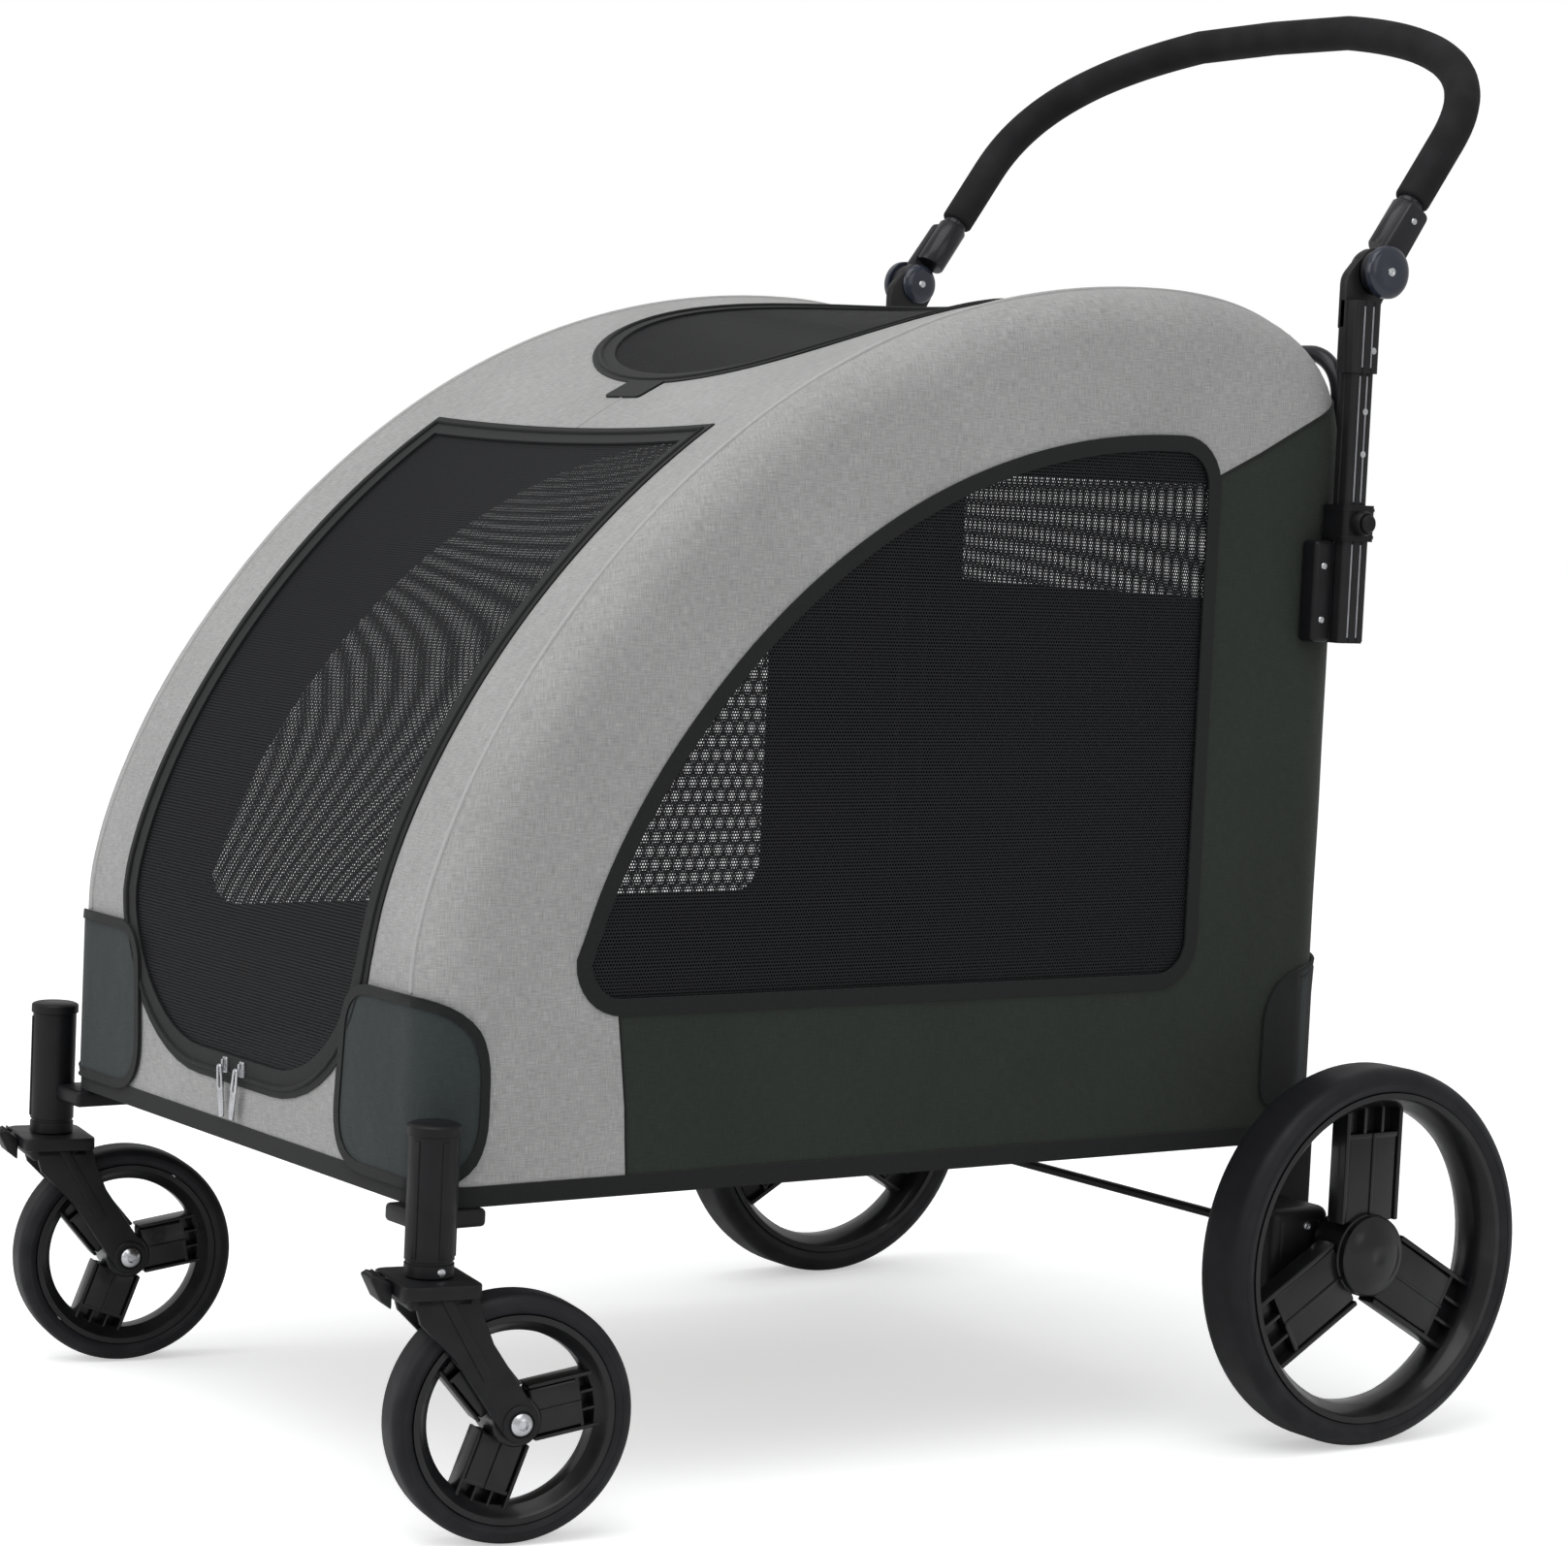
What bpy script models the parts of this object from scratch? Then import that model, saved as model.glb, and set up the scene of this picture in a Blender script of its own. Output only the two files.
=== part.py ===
"""Pet stroller: a fabric cabin on a tube base, with swivelling front casters,
braked rear wheels, and a rear frame that carries a tilting, telescopic handle.

Metres, +Z up, the front towards -Y. The origin is on the ground, in the middle
of the stroller's length and width. Left is +X, as the person who pushes it sees it.
"""
from math import cos, pi, radians, sin, sqrt

import bmesh
import bpy
from mathutils import Euler, Matrix, Vector

# Clearances
GAP = 0.0003            # between pieces that touch
RUNNING_GAP = 0.0004    # round a pin that turns
SEAM_GAP = 0.0006       # between fabric panels sewn edge to edge
WINDOW_GAP = 0.0010     # round the side windows

# Overall places
AXLE_Y = 0.3072
WHEELBASE = 0.733

# Cabin
CABIN_HALF_WIDTH = 0.260
CABIN_LENGTH = 0.741
CABIN_REAR_Y = AXLE_Y + 0.014
CABIN_FRONT_Y = CABIN_REAR_Y - CABIN_LENGTH
CABIN_BOTTOM_Z = 0.2055
CABIN_TOP_Z = 0.806
SKIN = 0.0025
EDGE_ROLL = 0.032       # radius at which the canopy turns down into the sides
ROOF_SAG = 0.012
CANOPY_STEPS = 26       # facets along the canopy, shared with the sides' edges
CANOPY_DROP = 0.117     # from the roof down to the rear panel's upper edge
RIDGE_X = CABIN_HALF_WIDTH - EDGE_ROLL
WINDOW_BAND = 0.105     # from the canopy's ridge to the side window
WINDOW_SILL_Z = CABIN_BOTTOM_Z + 0.1205
WINDOW_REAR_Y = AXLE_Y - 0.119
DOOR_HALF_WIDTH = 0.172
DOOR_CORNER = 0.120     # radius of the door's lower corners
DOOR_START = 0.046      # along the canopy from its front lower edge
DOOR_END = 0.572
HATCH_HALF_WIDTH = 0.172
HATCH_HALF_LENGTH = 0.135
HATCH_Y = AXLE_Y - 0.2975
REAR_WINDOW_HALF_WIDTH = RIDGE_X - 0.028
REAR_WINDOW_TOP_Z = CABIN_TOP_Z - CANOPY_DROP - 0.007
REAR_WINDOW_HEIGHT = 0.099
SWIVEL_HALF_TRACK = CABIN_HALF_WIDTH + 0.013
REAR_HALF_TRACK = CABIN_HALF_WIDTH + 0.065

# Rear wheels
REAR_RADIUS = 0.135
REAR_WIDTH = 0.045
REAR_TYRE = 0.017
REAR_RIM = 0.012
REAR_HUB_RADIUS = 0.0295
REAR_SPOKE = 0.054
REAR_AXLE_RADIUS = 0.006

# Front wheels and casters
FRONT_RADIUS = 0.0785
FRONT_WIDTH = 0.033
FRONT_TYRE = 0.0125
FRONT_RIM = 0.0115
FRONT_HUB_RADIUS = 0.016
FRONT_SPOKE = 0.036
FRONT_SPOKE_TURN = radians(-80)
FRONT_AXLE_RADIUS = 0.004
CASTER_TRAIL = 0.055
CASTER_TURN = radians(-11.3)
CROWN_TOP_Z = 0.168
CROWN_THICK = 0.013
CROWN_WIDTH = 0.064
FORK_PLATE = 0.005
STEM_RADIUS = 0.006
SOCKET_RADIUS = 0.0155
SOCKET_TOP_Z = 0.263

# Base frame and floor
BASE_TUBE = 0.009
BASE_CORNER = EDGE_ROLL - 0.007
BASE_HALF_WIDTH = CABIN_HALF_WIDTH - 0.015
BASE_Z = CABIN_BOTTOM_Z + BASE_TUBE + GAP
BASE_FRONT_Y = CABIN_FRONT_Y + SKIN + BASE_TUBE + 0.002
BASE_REAR_Y = CABIN_REAR_Y - SKIN - BASE_TUBE - 0.002
BOARD_HALF_WIDTH = BASE_HALF_WIDTH - 0.007
BOARD_THICK = 0.005
PAD_HALF_WIDTH = BASE_HALF_WIDTH - 0.025
PAD_THICK = 0.016
POLE_RADIUS = 0.0045
POLE_X = RIDGE_X - 0.0055
POLE_INSET = 0.0095

# Door zip
ZIP_X = 0.012
ZIP_SLIDER_THICK = 0.005
ZIP_PULL_GAP = 0.0006   # room for a pull to swing clear of its slider
ZIP_PULL_THICK = 0.0014
ZIP_PULL_LENGTH = 0.036

# Rear frame and handle
HOOP_X = CABIN_HALF_WIDTH - 0.020
HOOP_Y = CABIN_REAR_Y - 0.021
HOOP_RADIUS = 0.006
HOOP_HINGE_Z = CABIN_BOTTOM_Z + 0.0525
HOOP_TOP_Z = CABIN_TOP_Z - 0.034
HOOP_BEND = 0.032
HOOP_STEP_Z = HOOP_TOP_Z - 0.152   # where the hoop starts to lean back
HOOP_SET_BACK = 0.020
HOOP_CLEARANCE = 0.0025  # round the hoop, where it passes through the cloth
HOOP_CUT_Z = HOOP_STEP_Z - 0.12
HINGE_PIN_RADIUS = 0.0025
UPRIGHT_X = CABIN_HALF_WIDTH + 0.0148
UPRIGHT_Y = AXLE_Y - 0.004
SLEEVE_X = 0.020
SLEEVE_Y = 0.024
SLEEVE_WALL = 0.0017
SLEEVE_LOW_Z = CABIN_TOP_Z - 0.240
SLEEVE_TOP_Z = SLEEVE_LOW_Z + 0.084
BRACKET_TOP_Z = SLEEVE_TOP_Z - 0.012
BOSS_HEIGHTS = (SLEEVE_LOW_Z + 0.021, SLEEVE_LOW_Z + 0.051)
COLLAR_LOW_Z = SLEEVE_TOP_Z - 0.0117
COLLAR_TOP_Z = SLEEVE_TOP_Z + 0.014
BUTTON_RADIUS = 0.0065
SLIDE_LOW_Z = SLEEVE_TOP_Z - 0.018
SLIDE_BLOCK_Z = SLEEVE_TOP_Z + 0.107
SLIDE_TOP_Z = SLIDE_BLOCK_Z + 0.081
SLIDE_HOLE_RADIUS = 0.0025
PIVOT_Y = AXLE_Y + 0.011
PIVOT_Z = SLIDE_TOP_Z - 0.009
PIVOT_EAR_RADIUS = 0.017
KNOB_RADIUS = 0.0155
PIN_RADIUS = 0.003
HANDLE_LEAN = radians(35.0)
HUB_X = UPRIGHT_X - 0.002
HUB_THICK = 0.0085
HANDLE_HALF_WIDTH = UPRIGHT_X - 0.0088
HANDLE_STRAIGHT = 0.120
HANDLE_REACH = 0.238
HANDLE_TUBE = 0.0095
GRIP_RADIUS = 0.0130

SIDES = ((1, "left"), (-1, "right"))


# ---------------------------------------------------------------- helpers

def clear_scene():
    for item in list(bpy.data.objects):
        bpy.data.objects.remove(item, do_unlink=True)


def material(name, colour, roughness, metallic=0.0):
    mat = bpy.data.materials.new(name)
    mat.use_nodes = True
    shader = mat.node_tree.nodes["Principled BSDF"]
    shader.inputs["Base Color"].default_value = (*colour, 1.0)
    shader.inputs["Roughness"].default_value = roughness
    shader.inputs["Metallic"].default_value = metallic
    return mat


def empty(name, location, parent=None, turn=0.0):
    item = bpy.data.objects.new(name, None)
    bpy.context.collection.objects.link(item)
    item.location = location
    item.rotation_euler = Euler((0, 0, turn))
    item.parent = parent
    return item


def solid(name, bm, mat, side=1, parent=None, smooth=False):
    """Make an object of a closed bmesh, mirrored to the right side when side is -1."""
    if side < 0:
        bmesh.ops.scale(bm, vec=(-1, 1, 1), verts=bm.verts)
    bmesh.ops.recalc_face_normals(bm, faces=bm.faces)
    mesh = bpy.data.meshes.new(name)
    bm.to_mesh(mesh)
    bm.free()
    if smooth:
        mesh.shade_smooth()
        mesh.set_sharp_from_angle(angle=radians(35))
    mesh.materials.append(mat)
    item = bpy.data.objects.new(name, mesh)
    bpy.context.collection.objects.link(item)
    item.parent = parent
    return item


def combine(target, bm, operation, side=1, parent=None):
    """Add a Boolean modifier with a hidden operand built from a bmesh."""
    tool = solid(target.name + "_tool", bm, target.data.materials[0], side, parent)
    tool.hide_render = True
    tool.display_type = "WIRE"
    step = target.modifiers.new(operation.title(), "BOOLEAN")
    step.operation = operation
    step.solver = "EXACT"
    step.object = tool


def block(low, high, bevel=0.0):
    bm = bmesh.new()
    size = Vector(high) - Vector(low)
    middle = (Vector(high) + Vector(low)) / 2
    bmesh.ops.create_cube(bm, size=1.0, matrix=Matrix.Translation(middle) @ Matrix.Diagonal((*size, 1.0)))
    if bevel:
        bmesh.ops.bevel(bm, geom=list(bm.edges), offset=bevel, segments=1, profile=0.5,
                        affect="EDGES", clamp_overlap=True)
    return bm


def prism(outline, low_x, high_x):
    """Extrude an outline of (y, z) points along X."""
    bm = bmesh.new()
    face = bm.faces.new([bm.verts.new((low_x, y, z)) for y, z in outline])
    grown = bmesh.ops.extrude_face_region(bm, geom=[face])
    moved = [v for v in grown["geom"] if isinstance(v, bmesh.types.BMVert)]
    bmesh.ops.translate(bm, verts=moved, vec=(high_x - low_x, 0, 0))
    bmesh.ops.triangulate(bm, faces=[f for f in bm.faces if len(f.verts) > 4])
    return bm


def skin_rings(rings, closed):
    """Bridge rings of points into one solid; a ring of one point is a pole."""
    bm = bmesh.new()
    made = [[bm.verts.new(p) for p in ring] for ring in rings]
    pairs = list(zip(made, made[1:] + made[:1])) if closed else list(zip(made, made[1:]))
    for first, second in pairs:
        count = max(len(first), len(second))
        for i in range(count):
            j = (i + 1) % count
            corners = [first[i % len(first)], first[j % len(first)],
                       second[j % len(second)], second[i % len(second)]]
            bm.faces.new(list(dict.fromkeys(corners)))
    if not closed:
        for ring in (made[0], made[-1]):
            if len(ring) > 2:
                bm.faces.new(ring)
    return bm


def lathe(profile, sides, centre=(0, 0, 0), axis="X", closed=False):
    """Turn (along, radius) points about X or Z through a centre."""
    rings = []
    for along, radius in profile:
        angles = [2 * pi * i / sides for i in range(sides)] if radius > 0 else [0.0]
        if axis == "X":
            ring = [(along, radius * cos(a), radius * sin(a)) for a in angles]
        else:
            ring = [(radius * cos(a), radius * sin(a), along) for a in angles]
        rings.append([Vector(p) + Vector(centre) for p in ring])
    return skin_rings(rings, closed)


def pin(low_x, high_x, radius, y, z, sides=20):
    return lathe([(low_x, radius), (high_x, radius)], sides, (0, y, z))


def sweep(points, radius, sides=12, closed=False):
    """Carry a circle along a path without twisting it."""
    path = [Vector(p) for p in points]
    count = len(path)
    rings = []
    across = None
    for i, here in enumerate(path):
        before = path[i - 1] if closed or i > 0 else here
        after = path[(i + 1) % count] if closed or i < count - 1 else here
        along = (after - before).normalized()
        if across is None:
            across = along.cross(Vector((0.3, 0.5, 0.81))).normalized()
        across = (across - along * across.dot(along)).normalized()
        up = along.cross(across)
        rings.append([here + radius * (across * cos(2 * pi * k / sides) + up * sin(2 * pi * k / sides))
                      for k in range(sides)])
    return skin_rings(rings, closed)


def arc(centre, radius, start, end, steps):
    """Points of a flat arc; angles in degrees."""
    return [(centre[0] + radius * cos(radians(start + (end - start) * i / steps)),
             centre[1] + radius * sin(radians(start + (end - start) * i / steps)))
            for i in range(steps + 1)]


def bezier(points, steps):
    made = []
    for i in range(steps + 1):
        t = i / steps
        weights = ((1 - t) ** 3, 3 * t * (1 - t) ** 2, 3 * t * t * (1 - t), t ** 3)
        made.append(tuple(sum(w * p[k] for w, p in zip(weights, points)) for k in (0, 1)))
    return made


# ---------------------------------------------------------------- canopy surface

class Ridge:
    """The canopy's ridge line in the YZ plane, measured by the length along it."""

    def __init__(self):
        front, rear = CABIN_FRONT_Y, CABIN_REAR_Y
        top, foot = CABIN_TOP_Z, CABIN_BOTTOM_Z
        self.crest_y = front + 0.780 * CABIN_LENGTH
        rise = [(front, foot + 0.1365), (front, foot + 0.2605), (front + 0.266 * CABIN_LENGTH, top),
                (self.crest_y, top)]
        fall = [(self.crest_y, top), (self.crest_y + 0.108 * CABIN_LENGTH, top), (rear, top - 0.021),
                (rear, top - CANOPY_DROP + 0.006)]
        self.points = [(front, foot), (front, foot + 0.07)] + bezier(rise, 40) + bezier(fall, 20)[1:]
        self.points.append((rear, top - CANOPY_DROP))
        self.lengths = [0.0]
        for (y0, z0), (y1, z1) in zip(self.points, self.points[1:]):
            self.lengths.append(self.lengths[-1] + sqrt((y1 - y0) ** 2 + (z1 - z0) ** 2))
        self.total = self.lengths[-1]

    def at(self, length):
        """Point and outward direction at a length from the front lower edge."""
        length = min(max(length, 0.0), self.total)
        i = 1
        while self.lengths[i] < length - 1e-9 and i < len(self.lengths) - 1:
            i += 1
        (y0, z0), (y1, z1) = self.points[i - 1], self.points[i]
        span = self.lengths[i] - self.lengths[i - 1]
        t = (length - self.lengths[i - 1]) / span
        back = self.points[max(i - 2, 0)]
        ahead = self.points[min(i + 1, len(self.points) - 1)]
        first = Vector((y1 - back[0], z1 - back[1])).normalized()
        last = Vector((ahead[0] - y0, ahead[1] - z0)).normalized()
        along = first.lerp(last, t).normalized()
        return Vector((y0 + (y1 - y0) * t, z0 + (z1 - z0) * t)), Vector((-along.y, along.x))

    def length_at_y(self, y):
        """Length at which the roof passes a given y."""
        for (a, b), s0, s1 in zip(zip(self.points, self.points[1:]), self.lengths, self.lengths[1:]):
            if a[0] <= y <= b[0] and b[0] > a[0]:
                return s0 + (s1 - s0) * (y - a[0]) / (b[0] - a[0])
        return self.total

    def sag(self, length):
        """How far the sheet sinks midway between the two ridges."""
        rise = min(max((length - 0.12) / 0.60, 0.0), 1.0)
        fall = min(max((self.total - length) / 0.16, 0.0), 1.0)
        ease = rise * rise * (3 - 2 * rise) * fall * fall * (3 - 2 * fall)
        return ROOF_SAG * ease

    def surface(self, length, x, lift=0.0):
        """A point of the canopy's outer face, raised by lift along its normal."""
        place, out = self.at(length)
        outward = Vector((0.0, out.x, out.y))
        base = Vector((0.0, place.x, place.y))
        if abs(x) <= RIDGE_X:
            sink = self.sag(length) * (1 - (x / RIDGE_X) ** 2)
            return base + Vector((x, 0, 0)) + outward * (lift - sink)
        turn = min((abs(x) - RIDGE_X) / EDGE_ROLL, 1.0) * pi / 2
        side = 1 if x > 0 else -1
        radius = EDGE_ROLL + lift
        return (base + Vector((side * (RIDGE_X + radius * sin(turn)), 0, 0))
                + outward * (radius * cos(turn) - EDGE_ROLL))


RIDGE = Ridge()


def sheet(stations, columns, outer, inner, point_at):
    """A closed slab from stations of (length, low x, high x)."""
    bm = bmesh.new()
    faces = []
    for lift in (outer, inner):
        grid = []
        for length, low, high in stations:
            row = [bm.verts.new(point_at(length, low + (high - low) * c, lift)) for c in columns]
            grid.append(row)
        faces.append(grid)
    rows, cols = len(stations), len(columns)
    for grid in faces:
        for r in range(rows - 1):
            for c in range(cols - 1):
                bm.faces.new((grid[r][c], grid[r][c + 1], grid[r + 1][c + 1], grid[r + 1][c]))
    rim = ([(0, c) for c in range(cols)] + [(r, cols - 1) for r in range(1, rows)]
           + [(rows - 1, c) for c in range(cols - 2, -1, -1)] + [(r, 0) for r in range(rows - 2, 0, -1)])
    for (r0, c0), (r1, c1) in zip(rim, rim[1:] + rim[:1]):
        bm.faces.new((faces[0][r0][c0], faces[0][r1][c1], faces[1][r1][c1], faces[1][r0][c0]))
    return bm


def full_columns():
    """Column fractions across the canopy: close together on the rolled edges."""
    width = 2 * (RIDGE_X + EDGE_ROLL)
    roll = [EDGE_ROLL * i / 3 / width for i in range(4)]
    flat = [EDGE_ROLL / width + (1 - 2 * EDGE_ROLL / width) * i / 6 for i in range(1, 6)]
    return roll + flat + [1 - r for r in reversed(roll)]


def even_columns(count):
    return [i / count for i in range(count + 1)]


def round_stations(start, end, half_width, radius, steps, straight):
    """Stations of a panel with a round lower end and a square upper end."""
    made = []
    for i in range(steps + 1):
        angle = pi / 2 * i / steps
        made.append((start + radius * (1 - cos(angle)), half_width - radius * (1 - sin(angle))))
    for i in range(1, straight + 1):
        made.append((start + radius + (end - start - radius) * i / straight, half_width))
    return [(length, -width, width) for length, width in made]


def disc_stations(middle, half_length, half_width, steps):
    made = []
    for i in range(steps + 1):
        angle = pi * (0.04 + 0.92 * i / steps)
        made.append((middle - half_length * cos(angle), -half_width * sin(angle), half_width * sin(angle)))
    return made


def door_stations(grow=0.0):
    return round_stations(DOOR_START - grow, DOOR_END + grow, DOOR_HALF_WIDTH + grow, DOOR_CORNER, 6, 9)


def hatch_stations(grow=0.0):
    return disc_stations(RIDGE.length_at_y(HATCH_Y), HATCH_HALF_LENGTH + grow, HATCH_HALF_WIDTH + grow, 13)


def rear_point(length, x, lift):
    """A point of the rear panel: length is its height over the cabin's lower edge."""
    if abs(x) <= RIDGE_X:
        return Vector((x, CABIN_REAR_Y + lift, CABIN_BOTTOM_Z + length))
    turn = min((abs(x) - RIDGE_X) / EDGE_ROLL, 1.0) * pi / 2
    side = 1 if x > 0 else -1
    radius = EDGE_ROLL + lift
    return Vector((side * (RIDGE_X + radius * sin(turn)),
                   CABIN_REAR_Y - EDGE_ROLL + radius * cos(turn), CABIN_BOTTOM_Z + length))


# ---------------------------------------------------------------- cabin

def hoop_path(low_z):
    """Half of the rear hoop, from its foot to the middle of the top bar."""
    top_y = HOOP_Y + HOOP_SET_BACK
    corner_z = HOOP_TOP_Z - HOOP_BEND
    points = [(HOOP_X, HOOP_Y, low_z), (HOOP_X, HOOP_Y, HOOP_STEP_Z - 0.17), (HOOP_X, HOOP_Y, HOOP_STEP_Z)]
    for i in range(1, 6):
        t = i / 6
        points.append((HOOP_X, HOOP_Y + HOOP_SET_BACK * t * t * (3 - 2 * t),
                       HOOP_STEP_Z + (corner_z - HOOP_STEP_Z) * t))
    for x, z in arc((HOOP_X - HOOP_BEND, corner_z), HOOP_BEND, 0, 90, 5):
        points.append((x, top_y, z))
    return points


def mirrored_path(points):
    return points + [(-x, y, z) for x, y, z in reversed(points)]


def canopy(fabric):
    stations = [(RIDGE.total * i / CANOPY_STEPS, -CABIN_HALF_WIDTH, CABIN_HALF_WIDTH)
                for i in range(CANOPY_STEPS + 1)]
    panel = solid("canopy_panel", sheet(stations, full_columns(), 0, -SKIN, RIDGE.surface), fabric)
    for side, _ in SIDES:
        combine(panel, sweep(hoop_path(HOOP_CUT_Z), HOOP_RADIUS + HOOP_CLEARANCE), "DIFFERENCE", side)
    for stations in (door_stations(SEAM_GAP), hatch_stations(SEAM_GAP)):
        combine(panel, sheet(stations, even_columns(6), 0.012, -0.014, RIDGE.surface), "DIFFERENCE")


def door_and_hatch(mesh_cloth):
    solid("door_panel", sheet(door_stations(), even_columns(6), 0, -SKIN, RIDGE.surface), mesh_cloth)
    solid("roof_hatch", sheet(hatch_stations(), even_columns(6), 0, -SKIN, RIDGE.surface), mesh_cloth)


def rear_wall(fabric, mesh_cloth):
    height = CABIN_TOP_Z - CANOPY_DROP - CABIN_BOTTOM_Z - SEAM_GAP
    stations = [(height * i / 4, -CABIN_HALF_WIDTH, CABIN_HALF_WIDTH) for i in range(5)]
    panel = solid("rear_panel", sheet(stations, full_columns(), 0, -SKIN, rear_point), fabric)
    half = REAR_WINDOW_HALF_WIDTH
    high = REAR_WINDOW_TOP_Z
    low = high - REAR_WINDOW_HEIGHT
    opening = block((-half, CABIN_REAR_Y - 0.01, low), (half, CABIN_REAR_Y + 0.01, high))
    combine(panel, opening, "DIFFERENCE")
    for side, _ in SIDES:
        combine(panel, sweep(hoop_path(HOOP_CUT_Z), HOOP_RADIUS + HOOP_CLEARANCE), "DIFFERENCE", side)
        for z in BOSS_HEIGHTS:
            boss = pin(HOOP_X + HOOP_RADIUS + 0.0005, UPRIGHT_X, 0.0065, HOOP_Y, z, 12)
            combine(panel, boss, "DIFFERENCE", side)
    solid("rear_window", block((-half + SEAM_GAP, CABIN_REAR_Y - SKIN, low + SEAM_GAP),
                               (half - SEAM_GAP, CABIN_REAR_Y, high - SEAM_GAP)), mesh_cloth)


def inset_ridge(inset, start, end, steps):
    made = []
    for i in range(steps + 1):
        place, out = RIDGE.at(start + (end - start) * i / steps)
        made.append((place.x - out.x * inset, place.y - out.y * inset))
    return made


def window_outline(grow=0.0):
    """The side window: parallel to the ridge, level below and upright behind."""
    corner = 0.030
    band = WINDOW_BAND - grow
    sill = WINDOW_SILL_Z - grow
    rear = WINDOW_REAR_Y + grow
    front = CABIN_FRONT_Y + band
    curve = [p for p in inset_ridge(band, 0.0, RIDGE.total, 60)
             if p[1] > sill + 1.5 * corner and p[0] < rear - corner]
    crest = CABIN_TOP_Z - band
    return (curve + arc((rear - corner, crest - corner), corner, 90, 0, 4)
            + arc((rear - corner, sill + corner), corner, 0, -90, 4)
            + arc((front + corner, sill + corner), corner, -90, -180, 4))


def side_walls(fabric, mesh_cloth):
    inset = EDGE_ROLL + SEAM_GAP
    outline = inset_ridge(inset, 0.0, RIDGE.total, CANOPY_STEPS) + [(CABIN_REAR_Y - inset, CABIN_BOTTOM_Z)]
    low, high = CABIN_HALF_WIDTH - SKIN, CABIN_HALF_WIDTH
    for side, name in SIDES:
        panel = solid(f"side_panel_{name}", prism(outline, low, high), fabric, side)
        combine(panel, prism(window_outline(), low - 0.01, high + 0.01), "DIFFERENCE", side)
        solid(f"side_window_{name}", prism(window_outline(-WINDOW_GAP), low, high), mesh_cloth, side)


def floor(board, pad):
    low = BASE_Z + BASE_TUBE + GAP
    solid("floor_board", block((-BOARD_HALF_WIDTH, CABIN_FRONT_Y + 0.017, low),
                               (BOARD_HALF_WIDTH, HOOP_Y - 0.009, low + BOARD_THICK), 0.001), board)
    top = low + BOARD_THICK + GAP
    solid("floor_pad", block((-PAD_HALF_WIDTH, CABIN_FRONT_Y + 0.030, top),
                             (PAD_HALF_WIDTH, HOOP_Y - 0.015, top + PAD_THICK), 0.004), pad)


def arch_poles(metal):
    foot = BASE_Z + BASE_TUBE + GAP
    steps = 26
    for side, name in SIDES:
        points = [(POLE_X, CABIN_FRONT_Y + POLE_INSET, foot)]
        for i in range(1, steps + 1):
            place, out = RIDGE.at(RIDGE.total * i / steps)
            if place.y > foot + 0.02:
                points.append((POLE_X, place.x - out.x * POLE_INSET, place.y - out.y * POLE_INSET))
        points.append((POLE_X, CABIN_REAR_Y - POLE_INSET, foot))
        solid(f"arch_pole_{name}", sweep(points, POLE_RADIUS, 6), metal, side, smooth=True)


# ---------------------------------------------------------------- base frame

def base_path():
    """The base tube's rounded rectangle."""
    points = []
    corners = (((BASE_HALF_WIDTH, BASE_REAR_Y), 0), ((-BASE_HALF_WIDTH, BASE_REAR_Y), 90),
               ((-BASE_HALF_WIDTH, BASE_FRONT_Y), 180), ((BASE_HALF_WIDTH, BASE_FRONT_Y), 270))
    for (x, y), start in corners:
        cx = x - BASE_CORNER if x > 0 else x + BASE_CORNER
        cy = y - BASE_CORNER if y > 0 else y + BASE_CORNER
        points += [(px, py, BASE_Z) for px, py in arc((cx, cy), BASE_CORNER, start, start + 90, 4)]
    return points


def base_frame(metal, steel):
    frame = solid("base_frame", sweep(base_path(), BASE_TUBE, 8, closed=True), metal, smooth=True)
    ear_top = HOOP_HINGE_Z + 0.009
    for side, name in SIDES:
        for low in (HOOP_X - HOOP_RADIUS - 0.0035, HOOP_X + HOOP_RADIUS + 0.0005):
            ear = block((low, HOOP_Y - 0.007, BASE_Z), (low + 0.003, HOOP_Y + 0.007, ear_top))
            combine(frame, ear, "UNION", side)
        hole = pin(HOOP_X - 0.02, HOOP_X + 0.02, HINGE_PIN_RADIUS + RUNNING_GAP, HOOP_Y, HOOP_HINGE_Z, 16)
        combine(frame, hole, "DIFFERENCE", side)
        reach = HOOP_RADIUS + 0.0045
        solid(f"hinge_pin_{name}", pin(HOOP_X - reach, HOOP_X + reach, HINGE_PIN_RADIUS, HOOP_Y, HOOP_HINGE_Z, 16),
              steel, side)


def front_corners(plastic):
    """A bracket under each front corner with the caster's socket."""
    swivel_y = AXLE_Y - WHEELBASE
    low = CROWN_TOP_Z + 0.0005
    bore = STEM_RADIUS + RUNNING_GAP
    profile = [(low, bore), (low, SOCKET_RADIUS), (SOCKET_TOP_Z - 0.007, SOCKET_RADIUS),
               (SOCKET_TOP_Z - 0.007, SOCKET_RADIUS + 0.0013), (SOCKET_TOP_Z - 0.001, SOCKET_RADIUS + 0.0013),
               (SOCKET_TOP_Z, SOCKET_RADIUS), (SOCKET_TOP_Z, 0)]
    for side, name in SIDES:
        blind = [(0.252, 0.0), (0.252, bore)]
        turned = lathe(blind + profile, 20, (SWIVEL_HALF_TRACK, swivel_y, 0), "Z")
        corner = solid(f"front_corner_{name}", turned, plastic, side, smooth=True)
        plate = block((BASE_HALF_WIDTH - 0.023, swivel_y - 0.004, CABIN_BOTTOM_Z - 0.012),
                      (SWIVEL_HALF_TRACK - 0.008, swivel_y + 0.045, CABIN_BOTTOM_Z - GAP), 0.002)
        combine(corner, plate, "UNION", side)


# ---------------------------------------------------------------- casters

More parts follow.
